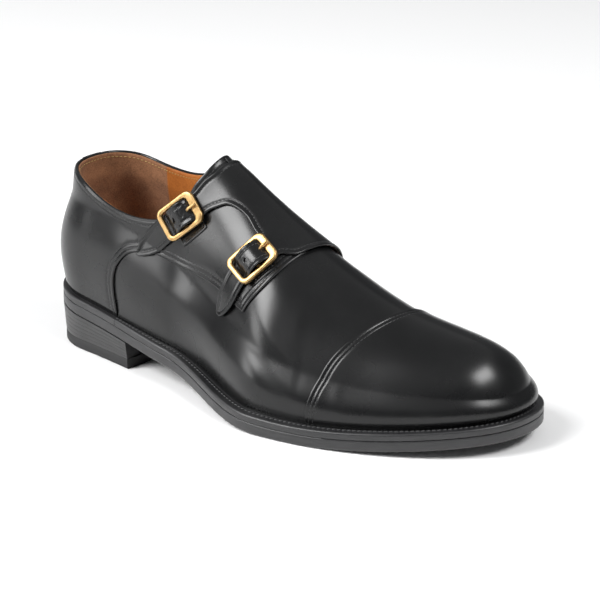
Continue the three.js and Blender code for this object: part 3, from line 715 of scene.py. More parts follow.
CALF = calf("polished_calf")
LEATHER = 1.0               # thickness of one layer of calf
faces, outside, inside = hose(0, STATIONS, 2.2, 0.0, -LEATHER)
add_piece("vamp_calf", *shell(faces, outside, inside), CALF, "calf", "upper")

# ------------------------------------------------------------------------------------------ Lining
# Tan leather lines the vamp and the quarters up to the collar; behind it a suede heel grip is let
# in, flesh side out, and the two meet in a seam.

GRIP_SEAM = 41.0
seam_row = int(np.searchsorted(ALONG, GRIP_SEAM))
faces, outside, inside = hose(seam_row, STATIONS, 1.1, -LEATHER, -2 * LEATHER)
add_piece("lining_tan", *shell(faces, outside, inside, rim=3), TAN, "lining")
faces, outside, inside = hose(0, seam_row + 1, 1.1, -LEATHER, -2 * LEATHER + 0.15)
add_piece("lining_heel_grip", *shell(faces, outside, inside, rim=3), HEEL_GRIP, "lining")

# ----------------------------------------------------------------------------------------- Toe cap
# A plain straight cap of the same calf, laid over the vamp and held by two rows of stitches. It is
# lasted in with the vamp, so its lower edge runs into the welt.

# The edge of the cap: places g round the section from the ridge, and x along it
CAP_LINE = [(-100, 205), (-87, 209.5), (-72, 211.5), (-61, 212.5), (-46, 215), (-33, 219),
            (-22, 222.8), (-11, 226.2), (3, 228.6), (14, 228.3), (28, 225.5), (43, 221),
            (58, 215.5), (78, 208.5), (95, 204)]
CAP_GUESS = 226.2           # where the search for the edge starts
CAP_ROWS = (1.7, 3.9)       # stitch rows in from the edge
CAP_NEAR = (0, 0.3, 0.7, 1.2, 1.5, 1.7, 1.9, 2.3, 2.9, 3.5, 3.7, 3.9, 4.1, 4.5, 5.2, 6.2)
CAP_FAR, CAP_SPREAD = 70, 0.9   # mesh rows from the last of CAP_NEAR to the tip, and their spread
CAP_SHORT = 0.995           # the stitches stop this share of the way down to the feather line
LAYER = 1.2                 # thickness of a quarter or cap laid on the vamp


def thread(name, colour, roughness):
    """Waxed thread with a faint twist."""
    material, tree, surface, place = shader(name)
    twist = noise(tree, place, 2600, 2)
    dress(tree, surface, Base_Color=ramp(tree, twist, [(0.3, tuple(0.6 * c for c in colour)), (0.7, colour)]),
          Normal=bumped(tree, twist, 0.4, 0.0001), Roughness=roughness)
    return material


BLACK_THREAD = thread("black_thread", (0.035, 0.035, 0.036), 0.4)
STITCHES = bpy.data.node_groups.new("stitch_row", "GeometryNodeTree")


def build_stitches(tree):
    """Fills the group: one flat bead for every pitch along the edges, lying on the leather."""
    sockets = {}
    for name, kind, value in (("Rows", "NodeSocketGeometry", None), ("Pitch", "NodeSocketFloat", 0.0021),
                              ("Length", "NodeSocketFloat", 0.0017), ("Width", "NodeSocketFloat", 0.00045),
                              ("Slant", "NodeSocketFloat", 0.1), ("Wander", "NodeSocketFloat", 0.06),
                              ("Seed", "NodeSocketInt", 3), ("Thread", "NodeSocketMaterial", None)):
        socket = tree.interface.new_socket(name, in_out="INPUT", socket_type=kind)
        if value is not None:
            socket.default_value = value
        sockets[name] = socket.identifier
    tree.interface.new_socket("Stitches", in_out="OUTPUT", socket_type="NodeSocketGeometry")
    given = node(tree, "NodeGroupInput").outputs

    def step(kind, values=None, **settings):
        return node(tree, kind, values, **settings).outputs[0]

    curve = step("GeometryNodeMeshToCurve", {"Mesh": given["Rows"]})
    even = step("GeometryNodeResampleCurve", {"Curve": curve, "Length": given["Pitch"]}, mode="LENGTH")
    ball = step("GeometryNodeMeshUVSphere", {"Segments": 8, "Rings": 6, "Radius": 0.5})
    size = step("ShaderNodeCombineXYZ", {"X": given["Length"], "Y": given["Width"], "Z": given["Width"]})
    bead = step("GeometryNodeTransform", {"Geometry": ball, "Scale": size})
    ahead = step("FunctionNodeAlignRotationToVector", {"Vector": step("GeometryNodeInputTangent")}, axis="X")
    away = step("GeometryNodeInputNamedAttribute", {"Name": "away"}, data_type="FLOAT_VECTOR")
    flat = step("FunctionNodeAlignRotationToVector", {"Rotation": ahead, "Vector": away},
                axis="Z", pivot_axis="X")
    low = maths(tree, "SUBTRACT", given["Slant"], given["Wander"])
    high = maths(tree, "ADD", given["Slant"], given["Wander"])
    chance = node(tree, "FunctionNodeRandomValue", {2: low, 3: high, "Seed": given["Seed"]}, data_type="FLOAT")
    skew = step("ShaderNodeCombineXYZ", {"Z": chance.outputs[1]})
    turned = step("FunctionNodeEulerToRotation", {"Euler": skew})
    final = step("FunctionNodeRotateRotation", {"Rotation": flat, "Rotate By": turned}, rotation_space="LOCAL")
    beads = step("GeometryNodeInstanceOnPoints", {"Points": even, "Instance": bead, "Rotation": final})
    real = step("GeometryNodeRealizeInstances", {"Geometry": beads})
    soft = step("GeometryNodeSetShadeSmooth", {"Geometry": real})
    dressed = step("GeometryNodeSetMaterial", {"Geometry": soft, "Material": given["Thread"]})
    node(tree, "NodeGroupOutput", {0: dressed})
    return sockets


STITCH_SOCKETS = build_stitches(STITCHES)


def stitch(name, rows, material, slot, **values):
    """Rows of stitches: every row is a run of places in millimetres and the ways off the leather."""
    points, edges, away = [], [], []
    for places, normals in rows:
        start = len(points)
        points.extend(metres(places).tolist())
        away.extend(normals.reshape(-1).tolist())
        edges.extend((start + k, start + k + 1) for k in range(len(places) - 1))
    mesh = bpy.data.meshes.new(name + "_rows")
    mesh.from_pydata(points, edges, [])
    mesh.attributes.new("away", "FLOAT_VECTOR", "POINT").data.foreach_set("vector", away)
    rows_object = bpy.data.objects.new(name + "_rows", mesh)
    bpy.context.scene.collection.objects.link(rows_object)
    modifier = rows_object.modifiers.new("stitches", "NODES")
    modifier.node_group = STITCHES
    for key, value in dict(values, Thread=material).items():
        modifier[STITCH_SOCKETS[key]] = value
    rows_object.update_tag()
    graph = bpy.context.evaluated_depsgraph_get()
    made = bpy.data.meshes.new_from_object(rows_object.evaluated_get(graph), depsgraph=graph)
    made.name = name
    bpy.data.objects.remove(rows_object)
    piece = bpy.data.objects.new(name, made)
    bpy.context.scene.collection.objects.link(piece)
    tie(piece, slot)


def crest(depth, thick, *rows, roll=0.12):
    """Height of a leather top at a depth in from its edge: rolled edge, and a sink at every row."""
    top = thick + roll * np.exp(-(depth / 0.9)**2)
    for row in rows:
        top = top - 0.2 * np.exp(-((depth - row) / 0.42)**2)
    return top


def toe_cap(columns=150):
    """The cap's grid on the chart, its two skins, and the start and step of every column."""
    share = np.linspace(-1, 1, columns)
    start = np.full(columns, float(station(CAP_GUESS)))
    for _ in range(8):
        start = station(through(*np.transpose(CAP_LINE), share * girth_at(start, share)))
    step = np.linalg.norm(on_last(start + 1, share * girth_at(start + 1, share))
                          - on_last(start, share * girth_at(start, share)), axis=1)
    far = np.linspace(0, 1, CAP_FAR)[1:, None]**CAP_SPREAD
    first = start + np.array(CAP_NEAR)[:, None] / step
    a = np.concatenate([first, first[-1] + (ARC[-1] - first[-1]) * far])
    g = share * girth_at(a, share)
    base = on_last(a, g)
    depth = run_along(base)
    foot = np.where(share < 0, girth_at(a, share) + g, girth_at(a, share) - g)
    tuck = 0.15 + 0.85 * smooth(foot / 4)
    return a, g, on_last(a, g, crest(depth, LAYER, *CAP_ROWS) * tuck), on_last(a, g, -0.05), start, step, share


cap_a, _, cap_top, cap_bottom, cap_start, cap_step, cap_share = toe_cap()
add_piece("toe_cap_calf", *shell(quads(*cap_a.shape), cap_top, cap_bottom), CALF, "calf", "toe_cap")
cap_rows = []
for depth in CAP_ROWS:
    a = cap_start + depth / cap_step
    g = cap_share * girth_at(a, cap_share) * CAP_SHORT
    cap_rows.append(on_last(a, g, crest(depth, LAYER, *CAP_ROWS) + 0.05, with_normal=True))
stitch("toe_cap_stitches", cap_rows, BLACK_THREAD, "calf")

# ------------------------------------------------------------------------------------- Outer quarter
# The outer quarter wraps the heel and carries both buckles. It lies on the vamp with a double row
# of stitches along its seam, and its front edge comes out under the strap panel.


def within(points, line):
    """Which points of the chart lie inside a closed line."""
    inside = np.zeros(len(points), bool)
    x, y = points.T
    for (x0, y0), (x1, y1) in zip(line, np.roll(line, -1, axis=0)):
        crosses = (y0 > y) != (y1 > y)
        inside ^= crosses & (x < x0 + (y - y0) * (x1 - x0) / (y1 - y0 + 1e-12))
    return inside


def jacobian(a, g):
    """How the place on the last moves per millimetre of a and of g."""
    step = 0.4
    low_a, high_a = np.clip(a - step, 0, ARC[-1]), np.clip(a + step, 0, ARC[-1])
    whole = girth_at(a, g)
    low_g, high_g = np.clip(g - step, -whole, whole), np.clip(g + step, -whole, whole)
    return ((on_last(high_a, g) - on_last(low_a, g)) / (high_a - low_a)[:, None],
            (on_last(a, high_g) - on_last(a, low_g)) / (high_g - low_g + 1e-9)[:, None])


def chart_move(a, g, way):
    """The move on the chart that makes a move on the last."""
    along, around = jacobian(a, g)
    aa, gg, ag = (along**2).sum(1), (around**2).sum(1), (along * around).sum(1)
    wa, wg = (way * along).sum(1), (way * around).sum(1)
    return np.column_stack([gg * wa - ag * wg, aa * wg - ag * wa]) / (aa * gg - ag**2)[:, None]


def trace(runs, spacing=0.9):
    """The closed line of an outline on the chart, smooth in every run, and the kind of every point."""
    line, kinds = [], []
    for kind, points in runs:
        p = np.array([(float(station(x)), g) for x, g in points])
        far = run_along(p)
        count = max(int(round(far[-1] / spacing)), 1)
        at = np.arange(count) / count * far[-1]
        line.append(np.column_stack([through(far, p[:, k], at) for k in (0, 1)]))
        kinds += [kind] * count
    line, kinds = np.concatenate(line), np.array(kinds)
    x, y = line.T
    if (x * np.roll(y, -1) - y * np.roll(x, -1)).sum() < 0:
        line, kinds = line[::-1], np.roll(kinds[::-1], -1)
    return line, kinds


def draw_in(line, distance):
    """The outline moved in over the last by a distance, mitred at its corners."""
    place, normal = on_last(*line.T, with_normal=True)
    turn = np.cross(normal, unit(np.roll(place, -1, axis=0) - place))
    behind = np.roll(turn, 1, axis=0)
    mitre = (turn + behind) / np.maximum(1 + (turn * behind).sum(1), 0.5)[:, None]
    return line + distance * chart_move(*line.T, mitre)


def nearest_in(points, place):
    """The index of the nearest of the points to every place."""
    tree = KDTree(len(points))
    for k, point in enumerate(points):
        tree.insert(point, k)
    tree.balance()
    return np.array([tree.find(point)[1] for point in place])


def to_edge(place, edge):
    """Distance of every place from a closed line of points, and the index of the nearest point."""
    nearest = nearest_in(edge, place)
    best = np.full(len(place), np.inf)
    for start, end in ((nearest - 1, nearest), (nearest, (nearest + 1) % len(edge))):
        run = edge[end] - edge[start]
        t = np.clip(((place - edge[start]) * run).sum(1) / ((run**2).sum(1) + 1e-12), 0, 1)
        best = np.minimum(best, np.linalg.norm(place - edge[start] - t[:, None] * run, axis=1))
    return best, nearest


def ring(line, edge, distance):
    """A line a distance inside the outline, and which of its points are good."""
    moved = draw_in(line, distance)
    far, _ = to_edge(on_last(*moved.T), edge)
    return moved, (far > distance * 0.93) & within(moved, line)


HOLE_SIDES = 20


def cut(line, kinds, rings, spacing, holes=()):
    """Triangles over an outline: its rings, an even net inside and circles round the holes.
    Returns chart points, faces, depth in from the edge and the kind of edge nearest."""
    edge = on_last(*line.T)
    count = len(line)
    points, ties, total = [line], [(k, (k + 1) % count) for k in range(count)], count
    for distance in rings:
        moved, good = ring(line, edge, distance)
        index = np.cumsum(good) - 1 + total
        pairs = ((k, (k + 1) % count) for k in range(count))
        ties += [(int(index[k]), int(index[after])) for k, after in pairs if good[k] and good[after]]
        points.append(moved[good])
        total += int(good.sum())
    low, high = line.min(0), line.max(0)
    net = []
    for n, g in enumerate(np.arange(low[1], high[1], spacing * 0.87)):
        a = np.arange(low[0] + (n % 2) * spacing / 2, high[0], spacing)
        net.append(np.column_stack([a, np.full(len(a), g)]))
    net = np.concatenate(net)
    net = net[within(net, line)]
    far, _ = to_edge(on_last(*net.T), edge)
    net = net[far > rings[-1] + 0.5 * spacing]
    for middle, radii in holes:
        net = net[np.hypot(*(net - middle).T) > radii[-1] + 0.4 * spacing]
        turn = np.linspace(0, 2 * math.pi, HOLE_SIDES, endpoint=False)
        for radius in radii:
            points.append(middle + radius * np.column_stack([np.cos(turn), np.sin(turn)]))
            ties += [(total + k, total + (k + 1) % HOLE_SIDES) for k in range(HOLE_SIDES)]
            total += HOLE_SIDES
        points.append(np.array([middle]))
        total += 1
    points.append(net)
    flat = [Vector(point) for point in np.concatenate(points)]
    verts, _, faces, *_ = delaunay_2d_cdt(flat, ties, [], 1, 1e-4, False)
    chart = np.array([tuple(v) for v in verts])
    kept = within(np.array([chart[list(face)].mean(0) for face in faces]), line)
    result = []
    for face in (face for face, keep in zip(faces, kept) if keep):
        (x0, y0), (x1, y1), (x2, y2) = chart[list(face)]
        area = (x1 - x0) * (y2 - y0) - (x2 - x0) * (y1 - y0)
        result.append(tuple(face) if area > 0 else tuple(reversed(face)))
    depth, nearest = to_edge(on_last(*chart.T), edge)
    return chart, result, depth, kinds[nearest]


def add_cut(name, chart, faces, top, bottom, material, slot, *nodes, rim=5):
    """A piece cut on the chart, between two heights over the last."""
    skins = on_last(*chart.T, top), on_last(*chart.T, bottom)
    add_piece(name, *shell(faces, *skins, rim), material, slot, *nodes)


def rows_inside(line, kinds, distance, wanted, top):
    """The runs of a stitch row a distance in from the wanted kinds of edge."""
    edge = on_last(*line.T)
    moved, good = ring(line, edge, distance)
    good &= np.isin(kinds, wanted)
    start = int(np.argmin(good))
    moved, good, kinds = (np.roll(v, -start, axis=0) for v in (moved, good, kinds))
    result, run = [], []
    for k in range(len(good) + 1):
        if k < len(good) and good[k]:
            run.append(k)
        elif run:
            if len(run) > 6:
                a, g = moved[run].T
                depth = np.full(len(run), float(distance))
                result.append(on_last(a, g, top(a, g, depth, kinds[run]) + 0.06, with_normal=True))
            run = []
    return result


COLLAR_DROP = 0.8           # the rolled collar stands this much over its outline
SEAM_ROWS = (1.8, 4.3)
COLLAR_ROW = 2.6
OUTER_FRONT = 113.0         # the outer collar goes out of sight under the strap here


def collar_run(side, start, end, count=70):
    return [(x, side * float(collar(side, station(x), COLLAR_DROP))) for x in np.linspace(start, end, count)]


def feather_run(side, start, end, count=30):
    return [(x, side * float(girth(station(x), side))) for x in np.linspace(start, end, count)]


BACK = float(ALONG[0])
SEAM_FOOT = 61.0            # where the seams of both quarters meet the feather line
quarter_seam = [(SEAM_FOOT, -float(girth(station(SEAM_FOOT), OUTER))), (63, -110), (69, -100),
                (78, -92), (84, -87), (92, -81), (114, -65), (136, -58), (160, -56)]
quarter_collar = collar_run(OUTER, OUTER_FRONT, BACK)
quarter_runs = [
    ("feather", feather_run(OUTER, BACK, SEAM_FOOT)),
    ("seam", quarter_seam),
    ("seam", [(160, -56), (162, -51), (169, -35), (174, -15), (175, -8)]),
    ("hidden", [(175, -8), (150, -6), (124, -6), quarter_collar[0]]),
    ("collar", quarter_collar),
    ("back", [quarter_collar[-1], (BACK, -float(girth(0, OUTER)))])]
quarter_line, quarter_kinds = trace(quarter_runs)


def quarter_top(a, g, depth, kind):
    """Top of a quarter: sunk stitch rows at the seam, a rolled collar, and flat at the feather line."""
    seam = crest(depth, LAYER, *SEAM_ROWS)
    rolled = crest(depth, LAYER, COLLAR_ROW, roll=0) - 0.35 * np.clip(1 - depth / 1.4, 0, 1)**2
    closed = LAYER - 0.45 * np.exp(-(depth / 0.7)**2)
    plain = np.full(np.shape(depth), LAYER)
    tuck = 0.12 + 0.88 * smooth((girth_at(a, g) - np.abs(g)) / 4)
    return tuck * np.select([kind == "seam", kind == "collar", kind == "back"], [seam, rolled, closed], plain)


def folded_bottom(depth, kind, under=-0.02):
    """Underside of a quarter; at the collar it folds over the edge of the layer beneath."""
    fold = np.where(kind == "collar", 1 - smooth((depth - 0.5) / 0.8), 0)
    return under - (LEATHER + under) * fold


EDGE_RINGS = (0.35, 0.8, 1.35, 1.8, 2.25, 2.75, 3.3, 3.85, 4.3, 4.8)
chart, faces, depth, kind = cut(quarter_line, quarter_kinds, EDGE_RINGS, 2.0)
add_cut("outer_quarter_calf", chart, faces, quarter_top(*chart.T, depth, kind), folded_bottom(depth, kind),
        CALF, "calf", "upper")
quarter_rows = []
for far, wanted in (*((far, "seam") for far in SEAM_ROWS), (COLLAR_ROW, "collar")):
    quarter_rows += rows_inside(quarter_line, quarter_kinds, far, [wanted], quarter_top)
stitch("outer_quarter_stitches", quarter_rows, BLACK_THREAD, "calf")

# ------------------------------------------------------------------------------------------- Tongue
# A tongue of the same calf lies under the strap panel, sewn in at the vamp, and shows a few
# millimetres of its rounded end at the top of the instep.

TONGUE_BACK = [(99, -52), (102, -42), (105, -32.5), (108.5, -22), (111.5, -12), (113, -3),
               (112, 6), (108, 16), (102, 27), (95, 40)]
TONGUE_FRONT = [(95, 40), (120, 42), (150, 28), (158, 0), (150, -28), (120, -46), (99, -52)]
TONGUE_THICK, TONGUE_ROW = 1.3, 2.2
tongue_line, tongue_kinds = trace([("free", TONGUE_BACK), ("hidden", TONGUE_FRONT)])


def tongue_top(a, g, depth, kind):
    """Top of the tongue, which dips under the vamp and the quarters."""
    under_vamp = smooth((a - station(111)) / 12)
    under_quarters = np.maximum(smooth((-g - 24) / 12), smooth((g - 3) / 12))
    sunk = 1 - (1 - under_vamp) * (1 - under_quarters)
    return 0.1 - 2.7 * sunk + crest(depth, 0.1, TONGUE_ROW, roll=0.08) * (kind == "free")


chart, faces, depth, kind = cut(tongue_line, tongue_kinds, (0.35, 0.8, 1.4, 2.2, 2.8), 2.2)
top = tongue_top(*chart.T, depth, kind)
add_cut("tongue_calf", chart, faces, top, top - TONGUE_THICK, CALF, "calf", "tongue")
stitch("tongue_stitches", rows_inside(tongue_line, tongue_kinds, TONGUE_ROW, ["free"], tongue_top),
       BLACK_THREAD, "calf")

# ---------------------------------------------------------------------- Inner quarter, panel and straps
# One piece of calf wraps the inner side, crosses the instep as the panel and ends in two straps that
# go through the buckles. Its free edges are turned, sewn and backed with thin brown leather.

# Strap rows: place on the last (x, g), width and height of the underside. The rows END_BARS and
# MIDDLE_BAR lie at the bars of the buckle; between them the strap rolls over the middle bar.
END_BARS, MIDDLE_BAR = (2, 8), 5
STRAPS = {
    "upper": [(122, -12, 20, 1.6), (117, -22, 15, 1.65), (114.5, -28.5, 12.6, 2.1),
              (112.3, -32.5, 12.6, 2.5), (109.6, -37.6, 12.6, 6.1), (106, -44, 12.6, 7.6),
              (102.6, -50.3, 12.6, 6.1), (98.6, -57.7, 12.6, 2.5), (96, -62.5, 12.6, 2.1),
              (92, -70, 12.5, 1.8), (86.5, -80, 11, 1.5), (82, -87.5, 7, 1.45), (78.5, -93.5, 1.4, 1.4)],
    "lower": [(160, -8, 22, 1.6), (163, -14, 17, 1.65), (162, -18.5, 12.6, 2.1),
              (160.7, -21.5, 12.6, 2.5), (159.1, -25.6, 12.6, 5.5), (157, -30.5, 12.6, 6.7),
              (154.9, -35.2, 12.6, 5.5), (152.6, -40.2, 12.6, 2.5), (151, -43.5, 12.6, 2.1),
              (148.5, -51, 12.5, 1.8), (146, -58.5, 11.5, 1.5), (143.5, -65, 7, 1.1), (141.5, -69.5, 1.4, 0.9)],
}
STRAP_THICK = 1.1
PANEL_LIFT = 1.6


def strap_curve(rows, count=160):
    """Centreline of a strap on the chart with its length, width and lift along the way."""
    p = np.array([(float(station(x)), g, w, lift) for x, g, w, lift in rows])
    place = on_last(p[:, 0], p[:, 1])
    far = run_along(place)
    s = np.linspace(0, far[-1], count)
    a, g, width, lift = (through(far, p[:, k], s) for k in range(4))
    place, normal = on_last(a, g, with_normal=True)
    side = np.cross(normal, unit(np.gradient(place, axis=0)))
    return dict(s=s, rows=far, a=a, g=g, width=width, lift=lift, place=place, side=side)


CURVES = {name: strap_curve(rows) for name, rows in STRAPS.items()}


def side_points(curve, use, way):
    """Chart points down one side of a strap or tab at the chosen places, as (x, g)."""
    a, g, width = (curve[key][use] for key in ("a", "g", "width"))
    move = chart_move(a, g, way * curve["side"][use] * width[:, None] / 2)
    return [(float(np.interp(p, ARC, ALONG)), float(q)) for p, q in zip(a + move[:, 0], g + move[:, 1])]


def strap_side(name, way, start=END_BARS[0]):
    """One side of a strap, from the row start to its tip."""
    curve = CURVES[name]
    return side_points(curve, np.nonzero(curve["s"] >= curve["rows"][start])[0][::3], way)


def strap_lift(place, otherwise):
    """Height of the underside at places on the last: the panel's own, or a strap's near a strap."""
    lift = otherwise
    for curve in CURVES.values():
        nearest = nearest_in(curve["place"], place)
        off = place - curve["place"][nearest]
        beside = np.abs((off * curve["side"][nearest]).sum(1))
        ahead = np.linalg.norm(off, axis=1)
        near = smooth(1 - (beside - curve["width"][nearest] / 2) / 5) * (curve["s"][nearest] > 0)
        near = near * smooth(1 - (ahead - curve["width"][nearest] / 2 - 1) / 5)
        lift = lift + (curve["lift"][nearest] - otherwise) * near * smooth(curve["s"][nearest] / 8)
    return lift


def panel_lift(a, g):
    """Height of the underside of the panel and its straps over the last."""
    over_quarter = smooth((6 - g) / 14)
    over_vamp = smooth((62 - g) / 40) * smooth((a - station(95)) / 35)
    rest = PANEL_LIFT * (1 - (1 - over_quarter) * (1 - over_vamp))
    return strap_lift(on_last(a, g), rest)


SCALLOP = [(124.5, -23), (129, -18.5), (136, -16), (143, -16), (148.5, -18)]
LOWER_START = 3             # the scallop runs into the back edge of the lower strap below its root
front_edge = [(163, 55), (165.5, 49), (168.5, 41), (172.5, 28), (175, 15), (176, 4), (175.3, -5),
              (173.5, -13)]
MEET = 107.0                # the collar of the inner quarter leaves its line here
inner_collar = collar_run(INNER, BACK, MEET)
instep_edge = [(112.5, -19), (116.5, -10), (118, -1.5), (117.5, 5), (114.5, 11.5), inner_collar[-1]]
inner_seam = [(163, 55), (150, 57.5), (136, 59.5), (114, 66), (92, 81), (84, 87), (78, 91.5),
              (69, 99), (63, 109), (SEAM_FOOT, float(girth(station(SEAM_FOOT), INNER)))]
between_straps = strap_side("lower", -1, LOWER_START)[::-1] + SCALLOP[::-1] + strap_side("upper", 1)
panel_runs = [
    ("free", front_edge + strap_side("lower", 1)),
    ("free", between_straps),
    ("free", strap_side("upper", -1)[::-1] + instep_edge),
    ("collar", inner_collar[::-1]),
    ("back", [inner_collar[0], (BACK, float(girth(0, INNER)))]),
    ("feather", feather_run(INNER, BACK, SEAM_FOOT)),
    ("seam", inner_seam[::-1])]
panel_line, panel_kinds = trace(panel_runs)
PANEL_ROW = 2.0


def panel_top(a, g, depth, kind):
    """Top of the panel and its straps over the last."""
    edge = quarter_top(a, g, depth, kind)
    free = crest(depth, STRAP_THICK, PANEL_ROW, roll=0.2)
    return panel_lift(a, g) + np.where(kind == "free", free, edge)


def hole(name, beyond, radius=0.95):
    """A hole punched in a strap, a way past the middle bar: chart place and its rings."""
    c = CURVES[name]
    k = int(np.argmin(np.abs(c["s"] - c["rows"][MIDDLE_BAR] - beyond)))
    return np.array([c["a"][k], c["g"][k]]), (radius * 0.6, radius * 0.95, radius * 1.15, radius * 1.5)


HOLES = [hole("upper", 3.6), hole("lower", 3.0)]
chart, faces, depth, kind = cut(panel_line, panel_kinds, EDGE_RINGS, 1.25, HOLES)
lift = panel_lift(*chart.T)
top = panel_top(*chart.T, depth, kind)
for middle, radii in HOLES:
    far = np.hypot(*(chart - middle).T)
    top = top - 0.85 * (1 - smooth((far - radii[1]) / (radii[2] - radii[1])))
    top = top + 0.08 * np.exp(-((far - radii[3]) / 0.35)**2)
fold = folded_bottom(depth, kind, 0) * (1 - smooth((chart[:, 0] - station(98)) / 12))
bottom = lift + np.where(kind == "collar", fold, 0)
add_cut("panel_and_straps_calf", chart, faces, top, bottom - 0.02, CALF, "calf", "strap_panel", rim=7)
panel_rows = []
for far, wanted in ((PANEL_ROW, "free"), (COLLAR_ROW, "collar"), *((far, "seam") for far in SEAM_ROWS)):
    panel_rows += rows_inside(panel_line, panel_kinds, far, [wanted], panel_top)
stitch("panel_and_strap_stitches", panel_rows, BLACK_THREAD, "calf")

BROWN = lining_leather("brown_backing", (0.045, 0.022, 0.012), (0.085, 0.042, 0.022), 0.6, nap=False)
backing_runs = [
    ("free", front_edge[1:] + strap_side("lower", 1)),
    ("free", between_straps),
    ("free", strap_side("upper", -1)[::-1] + instep_edge[:-2]),
    ("hidden", [instep_edge[-3], (122, 20), (135, 40), front_edge[1]])]
backing_line, backing_kinds = trace(backing_runs)
backing_line = draw_in(backing_line, 0.25)
chart, faces, depth, kind = cut(backing_line, backing_kinds, (0.6, 1.4), 2.2)
lift = panel_lift(*chart.T)
add_cut("panel_backing", chart, faces, lift - 0.03, lift - 0.45, BROWN, "lining", rim=4)

# -------------------------------------------------------------------------- Buckles, tabs and prongs
# Each buckle is a cast brass frame with rounded corners, satin polished. A short flat leather tab under it
# is sewn to the quarter, and a prong hinged at the middle bar rests on the front bar.

BUCKLE = dict(along=25.0, across=19.0, bar=2.6, front_bar=4.3, thick=2.4, corner=4.2, inner_corner=2.0,
              pin=1.1, pin_half=8.2, pin_sink=0.3, plane=5.85)
PRONG = dict(start=4.6, length=7.9, low=0.4, rise=2.2, droop=0.3, thick=0.95, thinner=0.3)
TABS = {"upper": [(113.5, -35), (108, -45), (101, -57.5)], "lower": [(161, -24), (158, -31), (154, -40)]}
TAB_WIDTH, TAB_THICK, TAB_ROW = 20.0, 0.65, 1.5         # and its stitch row in from the edge


def brass(name):
    """Pale satin brass: faint scratches and slightly darker hollows."""
    material, tree, surface, place = shader(name)
    worn = noise(tree, place, 320, 5)
    stretched = node(tree, "ShaderNodeMapping", {"Vector": place, "Scale": (1, 7, 2)}).outputs["Vector"]
    colour = ramp(tree, worn, [(0.3, (0.42, 0.26, 0.10)), (0.7, (0.66, 0.44, 0.20))])
    dress(tree, surface, Base_Color=colour, Roughness=spread(tree, worn, 0.32, 0.46),
          Normal=bumped(tree, noise(tree, stretched, 1500), 0.18, 0.0001), Metallic=1.0)
    return material


BRASS = brass("satin_brass")


def buckle_frame(name):
    """Places in a buckle's own axes (across, up the strap, away) taken to the shoe."""
    bars = (STRAPS[name][k][:2] for k in (END_BARS[0], MIDDLE_BAR, END_BARS[1]))
    high, middle, low = (on_last(station(x), g, with_normal=True) for x, g in bars)
    up = unit(high[0] - low[0])
    across = unit(np.cross(up, middle[1]))
    away = np.cross(across, up)
    origin = (high[0] + low[0]) / 2 + away * BUCKLE["plane"]
    return lambda points: origin + np.asarray(points, float) @ np.array([across, up, away])


def rounded_loop(width, low, high, corner, per_corner=10, per_side=8):
    """A rectangle with round corners from y = low to y = high, as a loop of points."""
    wide, low, high = width / 2 - corner, low + corner, high - corner
    arcs = []
    for x, y, start in ((wide, low, -90), (wide, high, 0), (-wide, high, 90), (-wide, low, 180)):
        turn = np.radians(start + np.linspace(0, 90, per_corner))
        arcs.append(np.column_stack([x + corner * np.cos(turn), y + corner * np.sin(turn)]))
    loop = []
    for arc, after in zip(arcs, arcs[1:] + arcs[:1]):
        loop += [arc, arc[-1] + (after[0] - arc[-1]) * np.linspace(0, 1, per_side)[1:-1, None]]
    return np.concatenate(loop)


# Section of the frame: share of the way from its outer to its inner edge, and height
FRAME_SECTION = [(0.10, -1.2), (0.02, -1.05), (0, -0.7), (0, 0.35), (0.03, 0.75), (0.10, 1.0), (0.22, 1.15),
                 (0.5, 1.22), (0.78, 1.15), (0.9, 1.0), (0.97, 0.75), (1, 0.35), (1, -0.7), (0.98, -1.05),
                 (0.9, -1.2)]


def rod(path, radii, sides=16):
    """A round rod along a path with a radius at every point, closed by a flat cap at each end."""
    path, radii = np.asarray(path, float), np.asarray(radii, float)
    run = unit(np.gradient(path, axis=0))
    side = unit(np.cross(run, (0, 0, 1.0)))
    over = np.cross(side, run)
    turn = np.linspace(0, 2 * math.pi, sides, endpoint=False)
    rings = [path[k] + radii[k] * (np.cos(turn)[:, None] * side[k] + np.sin(turn)[:, None] * over[k])
             for k in range(len(path))]
    faces = quads(len(path), sides, closed=True).tolist()
    faces.append(tuple(reversed(range(sides))))
    faces.append(tuple((len(path) - 1) * sides + k for k in range(sides)))
    return np.concatenate(rings), faces


def combined(*parts):
    """Several meshes as one."""
    points, faces, start = [], [], 0
    for p, f in parts:
        points.append(p)
        faces += [tuple(start + k for k in face) for face in f]
        start += len(p)
    return np.concatenate(points), faces


